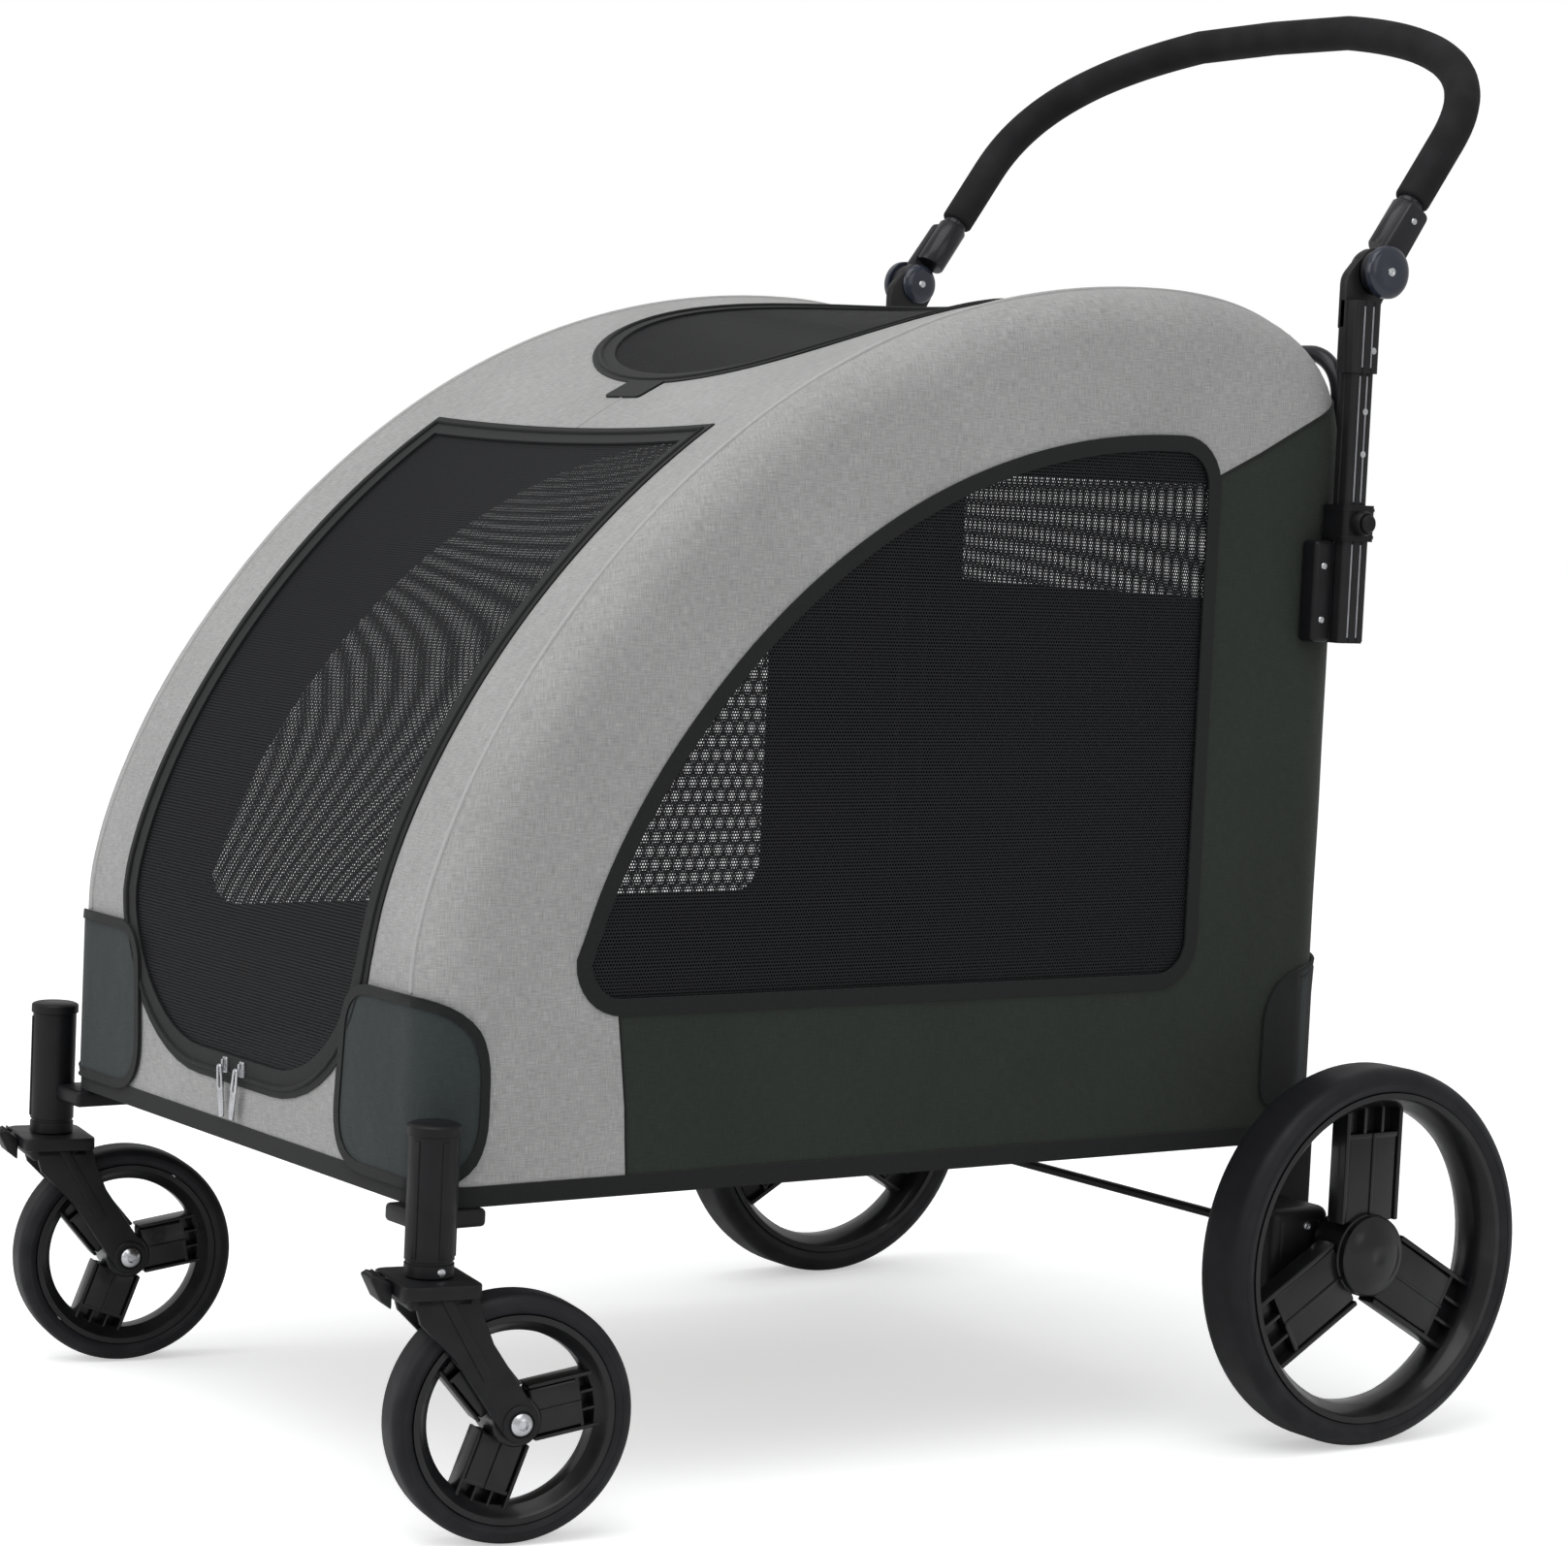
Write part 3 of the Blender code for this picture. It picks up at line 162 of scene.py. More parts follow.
class Effects:
    """Builds each shared effect once."""

    def __init__(self) -> None:
        """Start with nothing built."""
        self.made: dict[Effect, bpy.types.NodeTree] = {}

    def tree(self, effect: Effect) -> bpy.types.NodeTree:
        """Return an effect's node group, building it at first use."""
        if effect not in self.made:
            builders = {Effect.WEAVE: self.weave, Effect.HOLES: self.holes, Effect.GRAIN: self.grain,
                        Effect.RIBS: self.ribs, Effect.DUST: self.dust}
            self.made[effect] = builders[effect]()
        return self.made[effect]

    @staticmethod
    def start(effect: Effect, inputs: dict[str, float], outputs: tuple[str, ...]
              ) -> tuple[Graph, bpy.types.Node, bpy.types.Node]:
        """Make a group with a vector input, number inputs and number outputs.

        Args:
            effect: which effect it is.
            inputs: each number input and its default.
            outputs: names of the results.

        Returns:
            The graph, its input node and its output node.
        """
        tree = bpy.data.node_groups.new(effect.value, "ShaderNodeTree")
        tree.interface.new_socket("Vector", in_out="INPUT", socket_type="NodeSocketVector")
        for name, default in inputs.items():
            socket = tree.interface.new_socket(name, in_out="INPUT", socket_type="NodeSocketFloat")
            socket.default_value = default
        for name in outputs:
            tree.interface.new_socket(name, in_out="OUTPUT", socket_type="NodeSocketFloat")
        graph = Graph(tree)
        return graph, graph.node("NodeGroupInput"), graph.node("NodeGroupOutput")

    @staticmethod
    def cells(g: Graph, vector: bpy.types.NodeSocket, pitch: bpy.types.NodeSocket
              ) -> tuple[bpy.types.NodeSocket, bpy.types.NodeSocket]:
        """Divide a flat position by the pitch, as thread counts across and along."""
        parts = g.node("SeparateXYZ", Vector=vector)
        return g.math("DIVIDE", parts.outputs[0], pitch), g.math("DIVIDE", parts.outputs[1], pitch)

    def weave(self) -> bpy.types.NodeTree:
        """Threads that pass over and under each other, with thick places in the yarn."""
        g, given, out = self.start(Effect.WEAVE, {"Pitch": 0.001, "Slub": 1.0}, ("Height", "Fleck"))
        u, v = self.cells(g, given.outputs["Vector"], given.outputs["Pitch"])
        warp = g.math("ABSOLUTE", g.math("SINE", g.math("MULTIPLY", u, pi)))
        weft = g.math("ABSOLUTE", g.math("SINE", g.math("MULTIPLY", v, pi)))
        odd = g.math("MODULO", g.math("ADD", g.math("FLOOR", u), g.math("FLOOR", v)), 2.0)
        odd = g.math("ABSOLUTE", odd)
        over = g.math("ADD", warp, g.math("MULTIPLY", odd, g.math("SUBTRACT", weft, warp)))
        across = g.noise(given.outputs["Vector"], 1.0, 2.0, (110, 1400, 1))
        along = g.noise(given.outputs["Vector"], 1.0, 2.0, (1400, 110, 1))
        fleck = g.math("ADD", g.math("SUBTRACT", across, 0.5), g.math("SUBTRACT", along, 0.5))
        fleck = g.math("MULTIPLY", fleck, given.outputs["Slub"])
        g.set(out, "Height", g.math("ADD", over, fleck))
        g.set(out, "Fleck", g.math("ADD", fleck, 0.5))
        return g.tree

    def holes(self) -> bpy.types.NodeTree:
        """Round holes in staggered rows, as in warp-knitted net."""
        g, given, out = self.start(Effect.HOLES, {"Pitch": 0.0022, "Hole": 0.3}, ("Thread", "Height"))
        u, v = self.cells(g, given.outputs["Vector"], given.outputs["Pitch"])
        row = g.math("MODULO", g.math("FLOOR", v), 2.0)
        u = g.math("ADD", u, g.math("MULTIPLY", row, 0.5))
        du = g.math("SUBTRACT", g.math("FRACT", u), 0.5)
        dv = g.math("SUBTRACT", g.math("FRACT", v), 0.5)
        reach = g.math("SQRT", g.math("ADD", g.math("MULTIPLY", du, du), g.math("MULTIPLY", dv, dv)))
        g.set(out, "Thread", g.math("GREATER_THAN", reach, given.outputs["Hole"]))
        g.set(out, "Height", reach)
        return g.tree

    def grain(self) -> bpy.types.NodeTree:
        """Fine pitting with soft, broad changes of shade."""
        g, given, out = self.start(Effect.GRAIN, {"Scale": 900.0, "Rub": 1.0}, ("Height", "Shade"))
        vector = given.outputs["Vector"]
        fine = g.node("TexNoise", Vector=vector, Scale=given.outputs["Scale"], Detail=2.0).outputs["Fac"]
        broad = g.noise(vector, 38.0, 4.0)
        g.set(out, "Height", fine)
        g.set(out, "Shade", g.math("MULTIPLY", g.ramp(broad, 0.35, 0.75), given.outputs["Rub"]))
        return g.tree

    def ribs(self) -> bpy.types.NodeTree:
        """Cross ribs of woven tape."""
        g, given, out = self.start(Effect.RIBS, {"Pitch": 0.0012}, ("Height",))
        u, v = self.cells(g, given.outputs["Vector"], given.outputs["Pitch"])
        first = g.math("ABSOLUTE", g.math("SINE", g.math("MULTIPLY", g.math("ADD", u, v), pi)))
        g.set(out, "Height", first)
        return g.tree

    def dust(self) -> bpy.types.NodeTree:
        """Dust that thins out with height above the ground."""
        g, given, out = self.start(Effect.DUST, {"Top": 0.3, "Amount": 0.2}, ("Dust",))
        parts = g.node("SeparateXYZ", Vector=given.outputs["Vector"])
        low = g.math("SUBTRACT", 1.0, g.math("DIVIDE", parts.outputs[2], given.outputs["Top"]))
        spots = g.noise(given.outputs["Vector"], 60.0, 5.0)
        dust = g.math("MULTIPLY", g.math("MAXIMUM", low, 0.0), g.ramp(spots, 0.35, 0.7))
        g.set(out, "Dust", g.math("MULTIPLY", dust, given.outputs["Amount"]))
        return g.tree


EFFECTS = Effects()
MATERIALS: dict[str, bpy.types.Material] = {}


# ---------------------------------------------------------------- finishes

@dataclass(frozen=True)
class Finish:
    """A surface finish; each kind fills in its own nodes."""

    name: str
    colour: Colour
    roughness: float
    metallic: float = 0.0
    sheen: float = 0.0
    coat: float = 0.0
    specular: float = 0.22

    def material(self) -> bpy.types.Material:
        """Return this finish's material, made once."""
        if self.name in MATERIALS:
            return MATERIALS[self.name]
        made = bpy.data.materials.new(self.name)
        MATERIALS[self.name] = made
        made.use_nodes = True
        g = Graph(made.node_tree)
        shader = made.node_tree.nodes["Principled BSDF"]
        shader.inputs["Roughness"].default_value = self.roughness
        shader.inputs["Metallic"].default_value = self.metallic
        shader.inputs["Sheen Weight"].default_value = self.sheen
        shader.inputs["Sheen Roughness"].default_value = 0.45
        shader.inputs["Coat Weight"].default_value = self.coat
        shader.inputs["Specular IOR Level"].default_value = self.specular
        shader.inputs["Coat Roughness"].default_value = 0.12
        made.diffuse_color = (*self.colour, 1.0)
        self.fill(g, shader)
        return made

    def fill(self, g: Graph, shader: bpy.types.Node) -> None:
        """Add this kind's own nodes."""
        raise NotImplementedError

    def bump(self, g: Graph, shader: bpy.types.Node, height: bpy.types.NodeSocket, strength: float,
             distance: float, under: bpy.types.NodeSocket | None = None) -> None:
        """Feed a height to the shader's normal, over another bump's normal if one is given."""
        made = g.node("Bump", Strength=strength, Distance=distance, Height=height)
        if under:
            g.set(made, "Normal", under)
        g.set(shader, "Normal", made.outputs[0])

    def shades(self, low: float, high: float) -> tuple[Colour, Colour]:
        """The finish's colour, darker and lighter by two factors."""
        return tuple(c * low for c in self.colour), tuple(c * high for c in self.colour)


@dataclass(frozen=True)
class Cloth(Finish):
    """Woven cloth with its pattern on the flat cut."""

    pitch: float = 0.0011
    slub: float = 1.0
    contrast: float = 0.25
    crease: float = 0.35

    def fill(self, g: Graph, shader: bpy.types.Node) -> None:
        """Threads, yarn flecks and faint broad mottling."""
        flat = g.node("UVMap")
        flat.uv_map = "flat"
        weave = g.group(Effect.WEAVE, Vector=flat.outputs[0], Pitch=self.pitch, Slub=self.slub)
        dark, light = self.shades(1 - self.contrast, 1 + self.contrast)
        fleck = g.ramp(weave.outputs["Fleck"], 0.15, 0.85)
        mottled = g.math("ADD", fleck, g.ramp(g.noise(flat.outputs[0], 9.0, 4.0), 0.3, 0.7, -0.12, 0.12))
        g.set(shader, "Base Color", g.blend(mottled, dark, light))
        g.set(shader, "Roughness", g.ramp(weave.outputs["Height"], 0.0, 1.2, 1.0, self.roughness))
        pulls = g.noise(flat.outputs[0], 1.0, 3.0, (13.0, 7.0, 1.0))
        creases = g.node("Bump", Strength=self.crease, Distance=0.012, Height=pulls)
        self.bump(g, shader, weave.outputs["Height"], 0.35, self.pitch * 0.3, creases.outputs[0])


@dataclass(frozen=True)
class Net(Finish):
    """Open net, with real holes through it."""

    pitch: float = 0.0022
    hole: float = 0.33

    def fill(self, g: Graph, shader: bpy.types.Node) -> None:
        """Holes as transparency and a raised thread round each; the thread's colour is painted shade and
        highlight, darker at the hole rims and lighter between holes.
        """
        flat = g.node("UVMap")
        flat.uv_map = "flat"
        net = g.group(Effect.HOLES, Vector=flat.outputs[0], Pitch=self.pitch, Hole=self.hole)
        dark, light = self.shades(0.7, 1.4)
        # Painted shade and highlight: thread darker at the hole rims, lighter between holes, following its
        # height.
        g.set(shader, "Base Color", g.blend(g.ramp(net.outputs["Height"], 0.3, 0.7), dark, light))
        g.set(shader, "Alpha", net.outputs["Thread"])
        self.bump(g, shader, net.outputs["Height"], 0.5, self.pitch * 0.25)


@dataclass(frozen=True)
class Tape(Finish):
    """Ribbed woven tape."""

    def fill(self, g: Graph, shader: bpy.types.Node) -> None:
        """Cross ribs, with painted highlight on their crests and painted shade in their grooves, its
        strength varied by noise.
        """
        flat = g.node("UVMap")
        flat.uv_map = "flat"
        ribs = g.group(Effect.RIBS, Vector=flat.outputs[0])
        dark, light = self.shades(0.7, 1.35)
        crest_light_strength = g.ramp(g.noise(flat.outputs[0], 300.0), 0.3, 0.7, 0.5, 1.0)
        # Painted highlight and shade: rib crests lighter, grooves darker, strength varied by random noise.
        mask = g.math("MULTIPLY", ribs.outputs[0], crest_light_strength)
        g.set(shader, "Base Color", g.blend(mask, dark, light))
        self.bump(g, shader, ribs.outputs[0], 0.4, 0.0004)


@dataclass(frozen=True)
class Moulded(Finish):
    """Plastic, rubber, foam or coated metal, with grain and a little road dust."""

    grain: float = 900.0
    depth: float = 0.00008
    rub: float = 1.0
    dust: float = 0.05

    def fill(self, g: Graph, shader: bpy.types.Node) -> None:
        """Grain, rubbed places that shine more, and dust near the ground."""
        place = g.node("TexCoord").outputs["Object"]
        grain = g.group(Effect.GRAIN, Vector=place, Scale=self.grain, Rub=self.rub)
        dust = g.group(Effect.DUST, Vector=place, Amount=self.dust).outputs[0]
        dark, light = self.shades(0.85, 1.3)
        base = g.blend(grain.outputs["Shade"], dark, light)
        g.set(shader, "Base Color", g.blend(dust, base, (0.10, 0.10, 0.095)))
        rough = g.ramp(grain.outputs["Shade"], 0.0, 1.0, self.roughness + 0.06, self.roughness - 0.06)
        g.set(shader, "Roughness", g.math("ADD", rough, g.math("MULTIPLY", dust, 0.4)))
        self.bump(g, shader, grain.outputs["Height"], 0.35, self.depth)


@dataclass(frozen=True)
class Brushed(Finish):
    """Plated or brushed metal."""

    def fill(self, g: Graph, shader: bpy.types.Node) -> None:
        """Fine brushing and dull patches."""
        place = g.node("TexCoord").outputs["Object"]
        lines = g.noise(place, 1.0, 2.0, (250, 250, 2600))
        patches = g.ramp(g.noise(place, 90.0, 4.0), 0.35, 0.7)
        dark, light = self.shades(0.82, 1.08)
        g.set(shader, "Base Color", g.blend(patches, light, dark))
        g.set(shader, "Roughness", g.ramp(lines, 0.3, 0.7, self.roughness - 0.07, self.roughness + 0.10))
        self.bump(g, shader, lines, 0.15, 0.00006)


LIGHT_CLOTH = Cloth("heather_cloth", (0.300, 0.302, 0.298), 0.85, sheen=0.15, pitch=0.0013, contrast=0.26,
                    crease=0.8)
LINING = Cloth("cabin_lining", (0.012, 0.013, 0.014), 0.9, pitch=0.0010, slub=0.5)
DARK_CLOTH = Cloth("oxford_cloth", (0.019, 0.024, 0.019), 0.8, sheen=0.1, pitch=0.0012, slub=0.6,
                   contrast=0.35)
PATCH_CLOTH = Cloth("patch_cloth", (0.028, 0.035, 0.036), 0.8, sheen=0.1, pitch=0.0014, slub=0.5,
                    contrast=0.3)
PAD_CLOTH = Cloth("pad_cloth", (0.075, 0.080, 0.085), 0.9, sheen=0.2, pitch=0.0015, slub=0.9, contrast=0.3)
NET = Net("black_net", (0.007, 0.0075, 0.009), 0.6)
TAPE = Tape("black_tape", (0.007, 0.0075, 0.008), 0.75, sheen=0.1)
# Piping finish, lighter than the heather cloth: the extra lightness is a painted highlight along the ridge,
# and the centre seams share it.
HIGHLIGHT_PIPING = Cloth("highlight_piping_cloth", (0.36, 0.362, 0.358), 0.85, sheen=0.15, pitch=0.0012, slub=0.6,
               contrast=0.15)
PLASTIC = Moulded("black_plastic", (0.006, 0.006, 0.007), 0.42)
SATIN = Moulded("wheel_plastic", (0.005, 0.005, 0.006), 0.30, coat=0.25, depth=0.00004)
RUBBER = Moulded("tyre_rubber", (0.007, 0.007, 0.009), 0.50, grain=600.0, depth=0.00012, dust=0.08)
FOAM = Moulded("grip_foam", (0.009, 0.009, 0.010), 0.82, grain=1500.0, depth=0.0003, dust=0.0)
COATED = Moulded("coated_tube", (0.009, 0.009, 0.012), 0.34, grain=2400.0, depth=0.00003, coat=0.2,
                 dust=0.0)
RIBBED = Moulded("upright_tube", (0.011, 0.011, 0.012), 0.38, grain=2000.0, depth=0.00004, dust=0.0)
KNOB = Moulded("knob_plastic", (0.018, 0.022, 0.035), 0.24, grain=1400.0, depth=0.00003, coat=0.5, dust=0.0)
STEEL = Brushed("plated_steel", (0.55, 0.56, 0.58), 0.28, metallic=1.0)
# Pale metal for the upright strips: painted highlights along the grooves.
GROOVE_HIGHLIGHT_STEEL = Brushed("groove_highlight_steel", (0.34, 0.34, 0.36), 0.40, metallic=1.0)
BOARD = Moulded("floor_board", (0.085, 0.075, 0.065), 0.75, grain=500.0, depth=0.0002, dust=0.0)


# ---------------------------------------------------------------- mesh tools

def grown_verts(result: dict[str, list]) -> list[bmesh.types.BMVert]:
    """The vertices in an operator's result."""
    return [item for item in result["geom"] if isinstance(item, bmesh.types.BMVert)]


def block(low: tuple[float, float, float], high: tuple[float, float, float], bevel: float = 0.0,
          segments: int = 3) -> bmesh.types.BMesh:
    """A box with rounded edges.

    Args:
        low: the lowest corner.
        high: the highest corner.
        bevel: how far the rounding reaches.
        segments: faces across each rounded edge.

    Returns:
        The new bmesh.
    """
    bm = bmesh.new()
    size = Vector(high) - Vector(low)
    middle = (Vector(high) + Vector(low)) / 2
    bmesh.ops.create_cube(bm, size=1.0, matrix=Matrix.Translation(middle) @ Matrix.Diagonal((*size, 1.0)))
    if bevel:
        soften(bm, bevel, segments)
    return bm


def soften(bm: bmesh.types.BMesh, bevel: float, segments: int = 3, sharper_than: float = 30.0) -> None:
    """Round every edge that turns by more than an angle in degrees."""
    edges = [edge for edge in bm.edges
             if len(edge.link_faces) == 2 and edge.calc_face_angle(0.0) > radians(sharper_than)]
    bmesh.ops.bevel(bm, geom=edges, offset=bevel, segments=segments, profile=0.5, affect="EDGES",
                    material=-1,
                    clamp_overlap=True)


def plate(outline: list[Point], low: float, high: float, axis: str = "X",
          bevel: float = 0.0) -> bmesh.types.BMesh:
    """Extrude a flat outline along X, or along Z.

    Args:
        outline: (y, z) points for X, or (x, y) points for Z.
        low: where it starts along the axis.
        high: where it ends.
        axis: X or Z.
        bevel: rounding of its sharp edges.

    Returns:
        The new bmesh.
    """
    bm = bmesh.new()
    along = Vector((1, 0, 0)) if axis == "X" else Vector((0, 0, 1))
    places = [Vector((low, a, b)) if axis == "X" else Vector((a, b, low)) for a, b in outline]
    face = bm.faces.new([bm.verts.new(p) for p in places])
    grown = bmesh.ops.extrude_face_region(bm, geom=[face])
    bmesh.ops.translate(bm, verts=grown_verts(grown), vec=along * (high - low))
    bmesh.ops.recalc_face_normals(bm, faces=bm.faces)
    if bevel:
        soften(bm, bevel, 2)
    return bm


def turned(profile: list[Point], centre: Vector | tuple[float, float, float], axis: str = "X",
           steps: int = 96,
           closed: bool = False) -> bmesh.types.BMesh:
    """Spin (along, radius) points about an axis through a centre.

    Args:
        profile: the section, from one end to the other.
        centre: a point on the axis.
        axis: X, Y or Z.
        steps: faces round the turn.
        closed: whether the section is a loop.

    Returns:
        The new bmesh.
    """
    bm = bmesh.new()
    places = {"X": lambda a, r: (a, r, 0), "Y": lambda a, r: (0, a, r), "Z": lambda a, r: (r, 0, a)}[axis]
    verts = [bm.verts.new(places(a, max(r, 0.0))) for a, r in profile]
    pairs = list(zip(verts, verts[1:])) + ([(verts[-1], verts[0])] if closed else [])
    edges = [bm.edges.new(pair) for pair in pairs]
    turn = {"X": (1, 0, 0), "Y": (0, 1, 0), "Z": (0, 0, 1)}[axis]
    bmesh.ops.spin(bm, geom=verts + edges, cent=(0, 0, 0), axis=turn, angle=2 * pi, steps=steps,
                   use_merge=True)
    bmesh.ops.remove_doubles(bm, verts=bm.verts, dist=1e-6)
    bmesh.ops.recalc_face_normals(bm, faces=bm.faces)
    bmesh.ops.translate(bm, verts=bm.verts, vec=Vector(centre))
    return bm


def tube(points: list[Vector], radius: float, closed: bool = False,
         sides: int = 5) -> bmesh.types.BMesh:
    """Carry a round section along a path.

    Args:
        points: the path.
        radius: the section's radius.
        closed: whether the path is a loop.
        sides: a quarter of the section's faces, less one.

    Returns:
        The new bmesh.
    """
    data = bpy.data.curves.new("path", "CURVE")
    data.dimensions = "3D"
    line = data.splines.new("POLY")
    line.points.add(len(points) - 1)
    for target, place in zip(line.points, points):
        target.co = (*place, 1.0)
    line.use_cyclic_u = closed
    data.bevel_depth = radius
    data.bevel_resolution = sides
    data.use_fill_caps = not closed
    item = bpy.data.objects.new("path", data)
    bpy.context.collection.objects.link(item)
    mesh = bpy.data.meshes.new_from_object(item.evaluated_get(bpy.context.evaluated_depsgraph_get()))
    bm = bmesh.new()
    bm.from_mesh(mesh)
    bpy.data.objects.remove(item, do_unlink=True)
    bpy.data.curves.remove(data)
    bpy.data.meshes.remove(mesh)
    bmesh.ops.remove_doubles(bm, verts=bm.verts, dist=1e-6)
    bmesh.ops.recalc_face_normals(bm, faces=bm.faces)
    return bm


def joined(parts: list[bmesh.types.BMesh]) -> bmesh.types.BMesh:
    """Put several bmeshes into one."""
    whole = bmesh.new()
    for bm in parts:
        mesh = bpy.data.meshes.new("part")
        bm.to_mesh(mesh)
        bm.free()
        whole.from_mesh(mesh)
        bpy.data.meshes.remove(mesh)
    return whole


def piece(name: str, bm: bmesh.types.BMesh, finishes: list[Finish], side: int = 1, angle: float = 35.0
          ) -> bpy.types.Object:
    """Make a finished object of a bmesh.

    Args:
        name: the piece's name.
        bm: its shape; freed afterwards.
        finishes: one finish for each material index.
        side: -1 mirrors it to the right side.
        angle: edges sharper than this stay sharp.

    Returns:
        The new object, at the origin.
    """
    if side < 0:
        bmesh.ops.scale(bm, vec=(-1, 1, 1), verts=bm.verts)
        bmesh.ops.reverse_faces(bm, faces=bm.faces)
    mesh = bpy.data.meshes.new(name)
    bm.to_mesh(mesh)
    bm.free()
    mesh.shade_smooth()
    mesh.set_sharp_from_angle(angle=radians(angle))
    for finish in finishes:
        mesh.materials.append(finish.material())
    item = bpy.data.objects.new(name, mesh)
    bpy.context.collection.objects.link(item)
    LOG.info("made %s: %d faces", name, len(mesh.polygons))
    return item


def place(item: bpy.types.Object, body: str, slot: str, *replaced: str) -> bpy.types.Object:
    """Fix a piece to a body and hide the nodes that it stands for."""
    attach(item, body)
    if replaced:
        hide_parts(*replaced)
    return item


def arc(centre: Point, radius: float, start: float, end: float, steps: int = 8) -> list[Point]:
    """Points of a flat arc; angles in degrees."""
    angles = [radians(start + (end - start) * i / steps) for i in range(steps + 1)]
    return [(centre[0] + radius * cos(a), centre[1] + radius * sin(a)) for a in angles]


def rounded(points: list[Point], radius: float | list[float], steps: int = 6) -> list[Point]:
    """Round the corners of a convex outline.

    Args:
        points: the corners, in order.
        radius: how far each rounding reaches along its edges, for all corners or one by one.
        steps: pieces in each rounding.

    Returns:
        The rounded outline.
    """
    made: list[Point] = []
    count = len(points)
    for i, corner in enumerate(points):
        here = Vector(corner)
        back = (Vector(points[i - 1]) - here)
        ahead = (Vector(points[(i + 1) % count]) - here)
        reach = radius[i] if isinstance(radius, list) else radius
        if reach <= 0:
            made.append(tuple(here))
            continue
        first, last = here + back.normalized() * reach, here + ahead.normalized() * reach
        for k in range(steps + 1):
            t = k / steps
            made.append(tuple(first * (1 - t) ** 2 + here * 2 * t * (1 - t) + last * t * t))
    return made


def bezier(points: list[Point], steps: int) -> list[Point]:
    """Points of a flat cubic curve."""
    made = []
    for i in range(steps + 1):
        t = i / steps
        weights = ((1 - t) ** 3, 3 * t * (1 - t) ** 2, 3 * t * t * (1 - t), t ** 3)
        made.append(tuple(sum(w * p[k] for w, p in zip(weights, points)) for k in (0, 1)))
    return made


def polygon_area(outline: list[Point]) -> float:
    """Area inside a flat outline."""
    pairs = zip(outline, outline[1:] + outline[:1])
    return abs(sum(a[0] * b[1] - b[0] * a[1] for a, b in pairs)) / 2


def flat_slab(outline: list[Point], holes: list[list[Point]], cell: float, low: float, high: float
              ) -> bmesh.types.BMesh:
    """A cut of cloth lying flat: an even grid trimmed to its outline.

    Args:
        outline: the cut's edge.
        holes: openings in it.
        cell: size of the grid's faces.
        low: height of the inner face.
        high: height of the outer face.

    Returns:
        The new bmesh; material 1 is on the inner face, and the cut is kept as UV map "flat".
    """
    us, vs = [p[0] for p in outline], [p[1] for p in outline]
    margin = cell * 0.37
    u0, u1, v0, v1 = min(us) - margin, max(us) + margin, min(vs) - margin, max(vs) + margin
    bm = bmesh.new()
    bmesh.ops.create_grid(bm, x_segments=ceil((u1 - u0) / cell), y_segments=ceil((v1 - v0) / cell),
                          size=0.5)
    bmesh.ops.scale(bm, vec=(u1 - u0, v1 - v0, 1), verts=bm.verts)
    bmesh.ops.translate(bm, vec=((u0 + u1) / 2, (v0 + v1) / 2, low), verts=bm.verts)
    grown = bmesh.ops.extrude_face_region(bm, geom=bm.faces[:])
    bmesh.ops.translate(bm, verts=grown_verts(grown), vec=(0, 0, high - low))
    bmesh.ops.recalc_face_normals(bm, faces=bm.faces)
    slab = hidden("slab", bm)
    tools = [("INTERSECT", outline)] + [("DIFFERENCE", hole) for hole in holes]
    for operation, edge in tools:
        cutter = hidden("cutter", plate(edge, low - 0.01, high + 0.01, "Z"))
        step = slab.modifiers.new("cut", "BOOLEAN")
        step.operation, step.solver, step.object = operation, "EXACT", cutter
    mesh = bpy.data.meshes.new_from_object(slab.evaluated_get(bpy.context.evaluated_depsgraph_get()))
    trimmed = bmesh.new()
    trimmed.from_mesh(mesh)
    for item in [slab] + [step.object for step in slab.modifiers]:
        old = item.data
        bpy.data.objects.remove(item, do_unlink=True)
        bpy.data.meshes.remove(old)
    bpy.data.meshes.remove(mesh)
    bmesh.ops.remove_doubles(trimmed, verts=trimmed.verts, dist=1e-6)
    flat = trimmed.loops.layers.uv.new("flat")
    for face in trimmed.faces:
        face.material_index = 1 if face.normal.z < -0.5 else 0
        for loop in face.loops:
            loop[flat].uv = loop.vert.co.xy
    return trimmed


def hidden(name: str, bm: bmesh.types.BMesh) -> bpy.types.Object:
    """A working object for a Boolean."""
    mesh = bpy.data.meshes.new(name)
    bm.to_mesh(mesh)
    bm.free()
    item = bpy.data.objects.new(name, mesh)
    bpy.context.collection.objects.link(item)
    return item


def shifted(outline: list[Point], grow: float) -> list[Point]:
    """Move an outline outwards by a distance, or inwards where it is negative."""
    count = len(outline)
    area = sum(a[0] * b[1] - b[0] * a[1] for a, b in zip(outline, outline[1:] + outline[:1]))
    turn = 1 if area > 0 else -1
    made = []
    for i, here in enumerate(outline):
        back, ahead = outline[i - 1], outline[(i + 1) % count]
        dx, dy = ahead[0] - back[0], ahead[1] - back[1]
        size = hypot(dx, dy) or 1.0
        made.append((here[0] + turn * dy / size * grow, here[1] - turn * dx / size * grow))
    return made


def band_uv(bm: bmesh.types.BMesh, scale: float = 1.0) -> None:
    """Give a bent piece without a flat cut a UV map from its own place."""
    flat = bm.loops.layers.uv.new("flat")
    for face in bm.faces:
        for loop in face.loops:
            x, y, z = loop.vert.co
            loop[flat].uv = ((x + y) * scale, (z - x * 0.5) * scale)


# ---------------------------------------------------------------- cabin surface

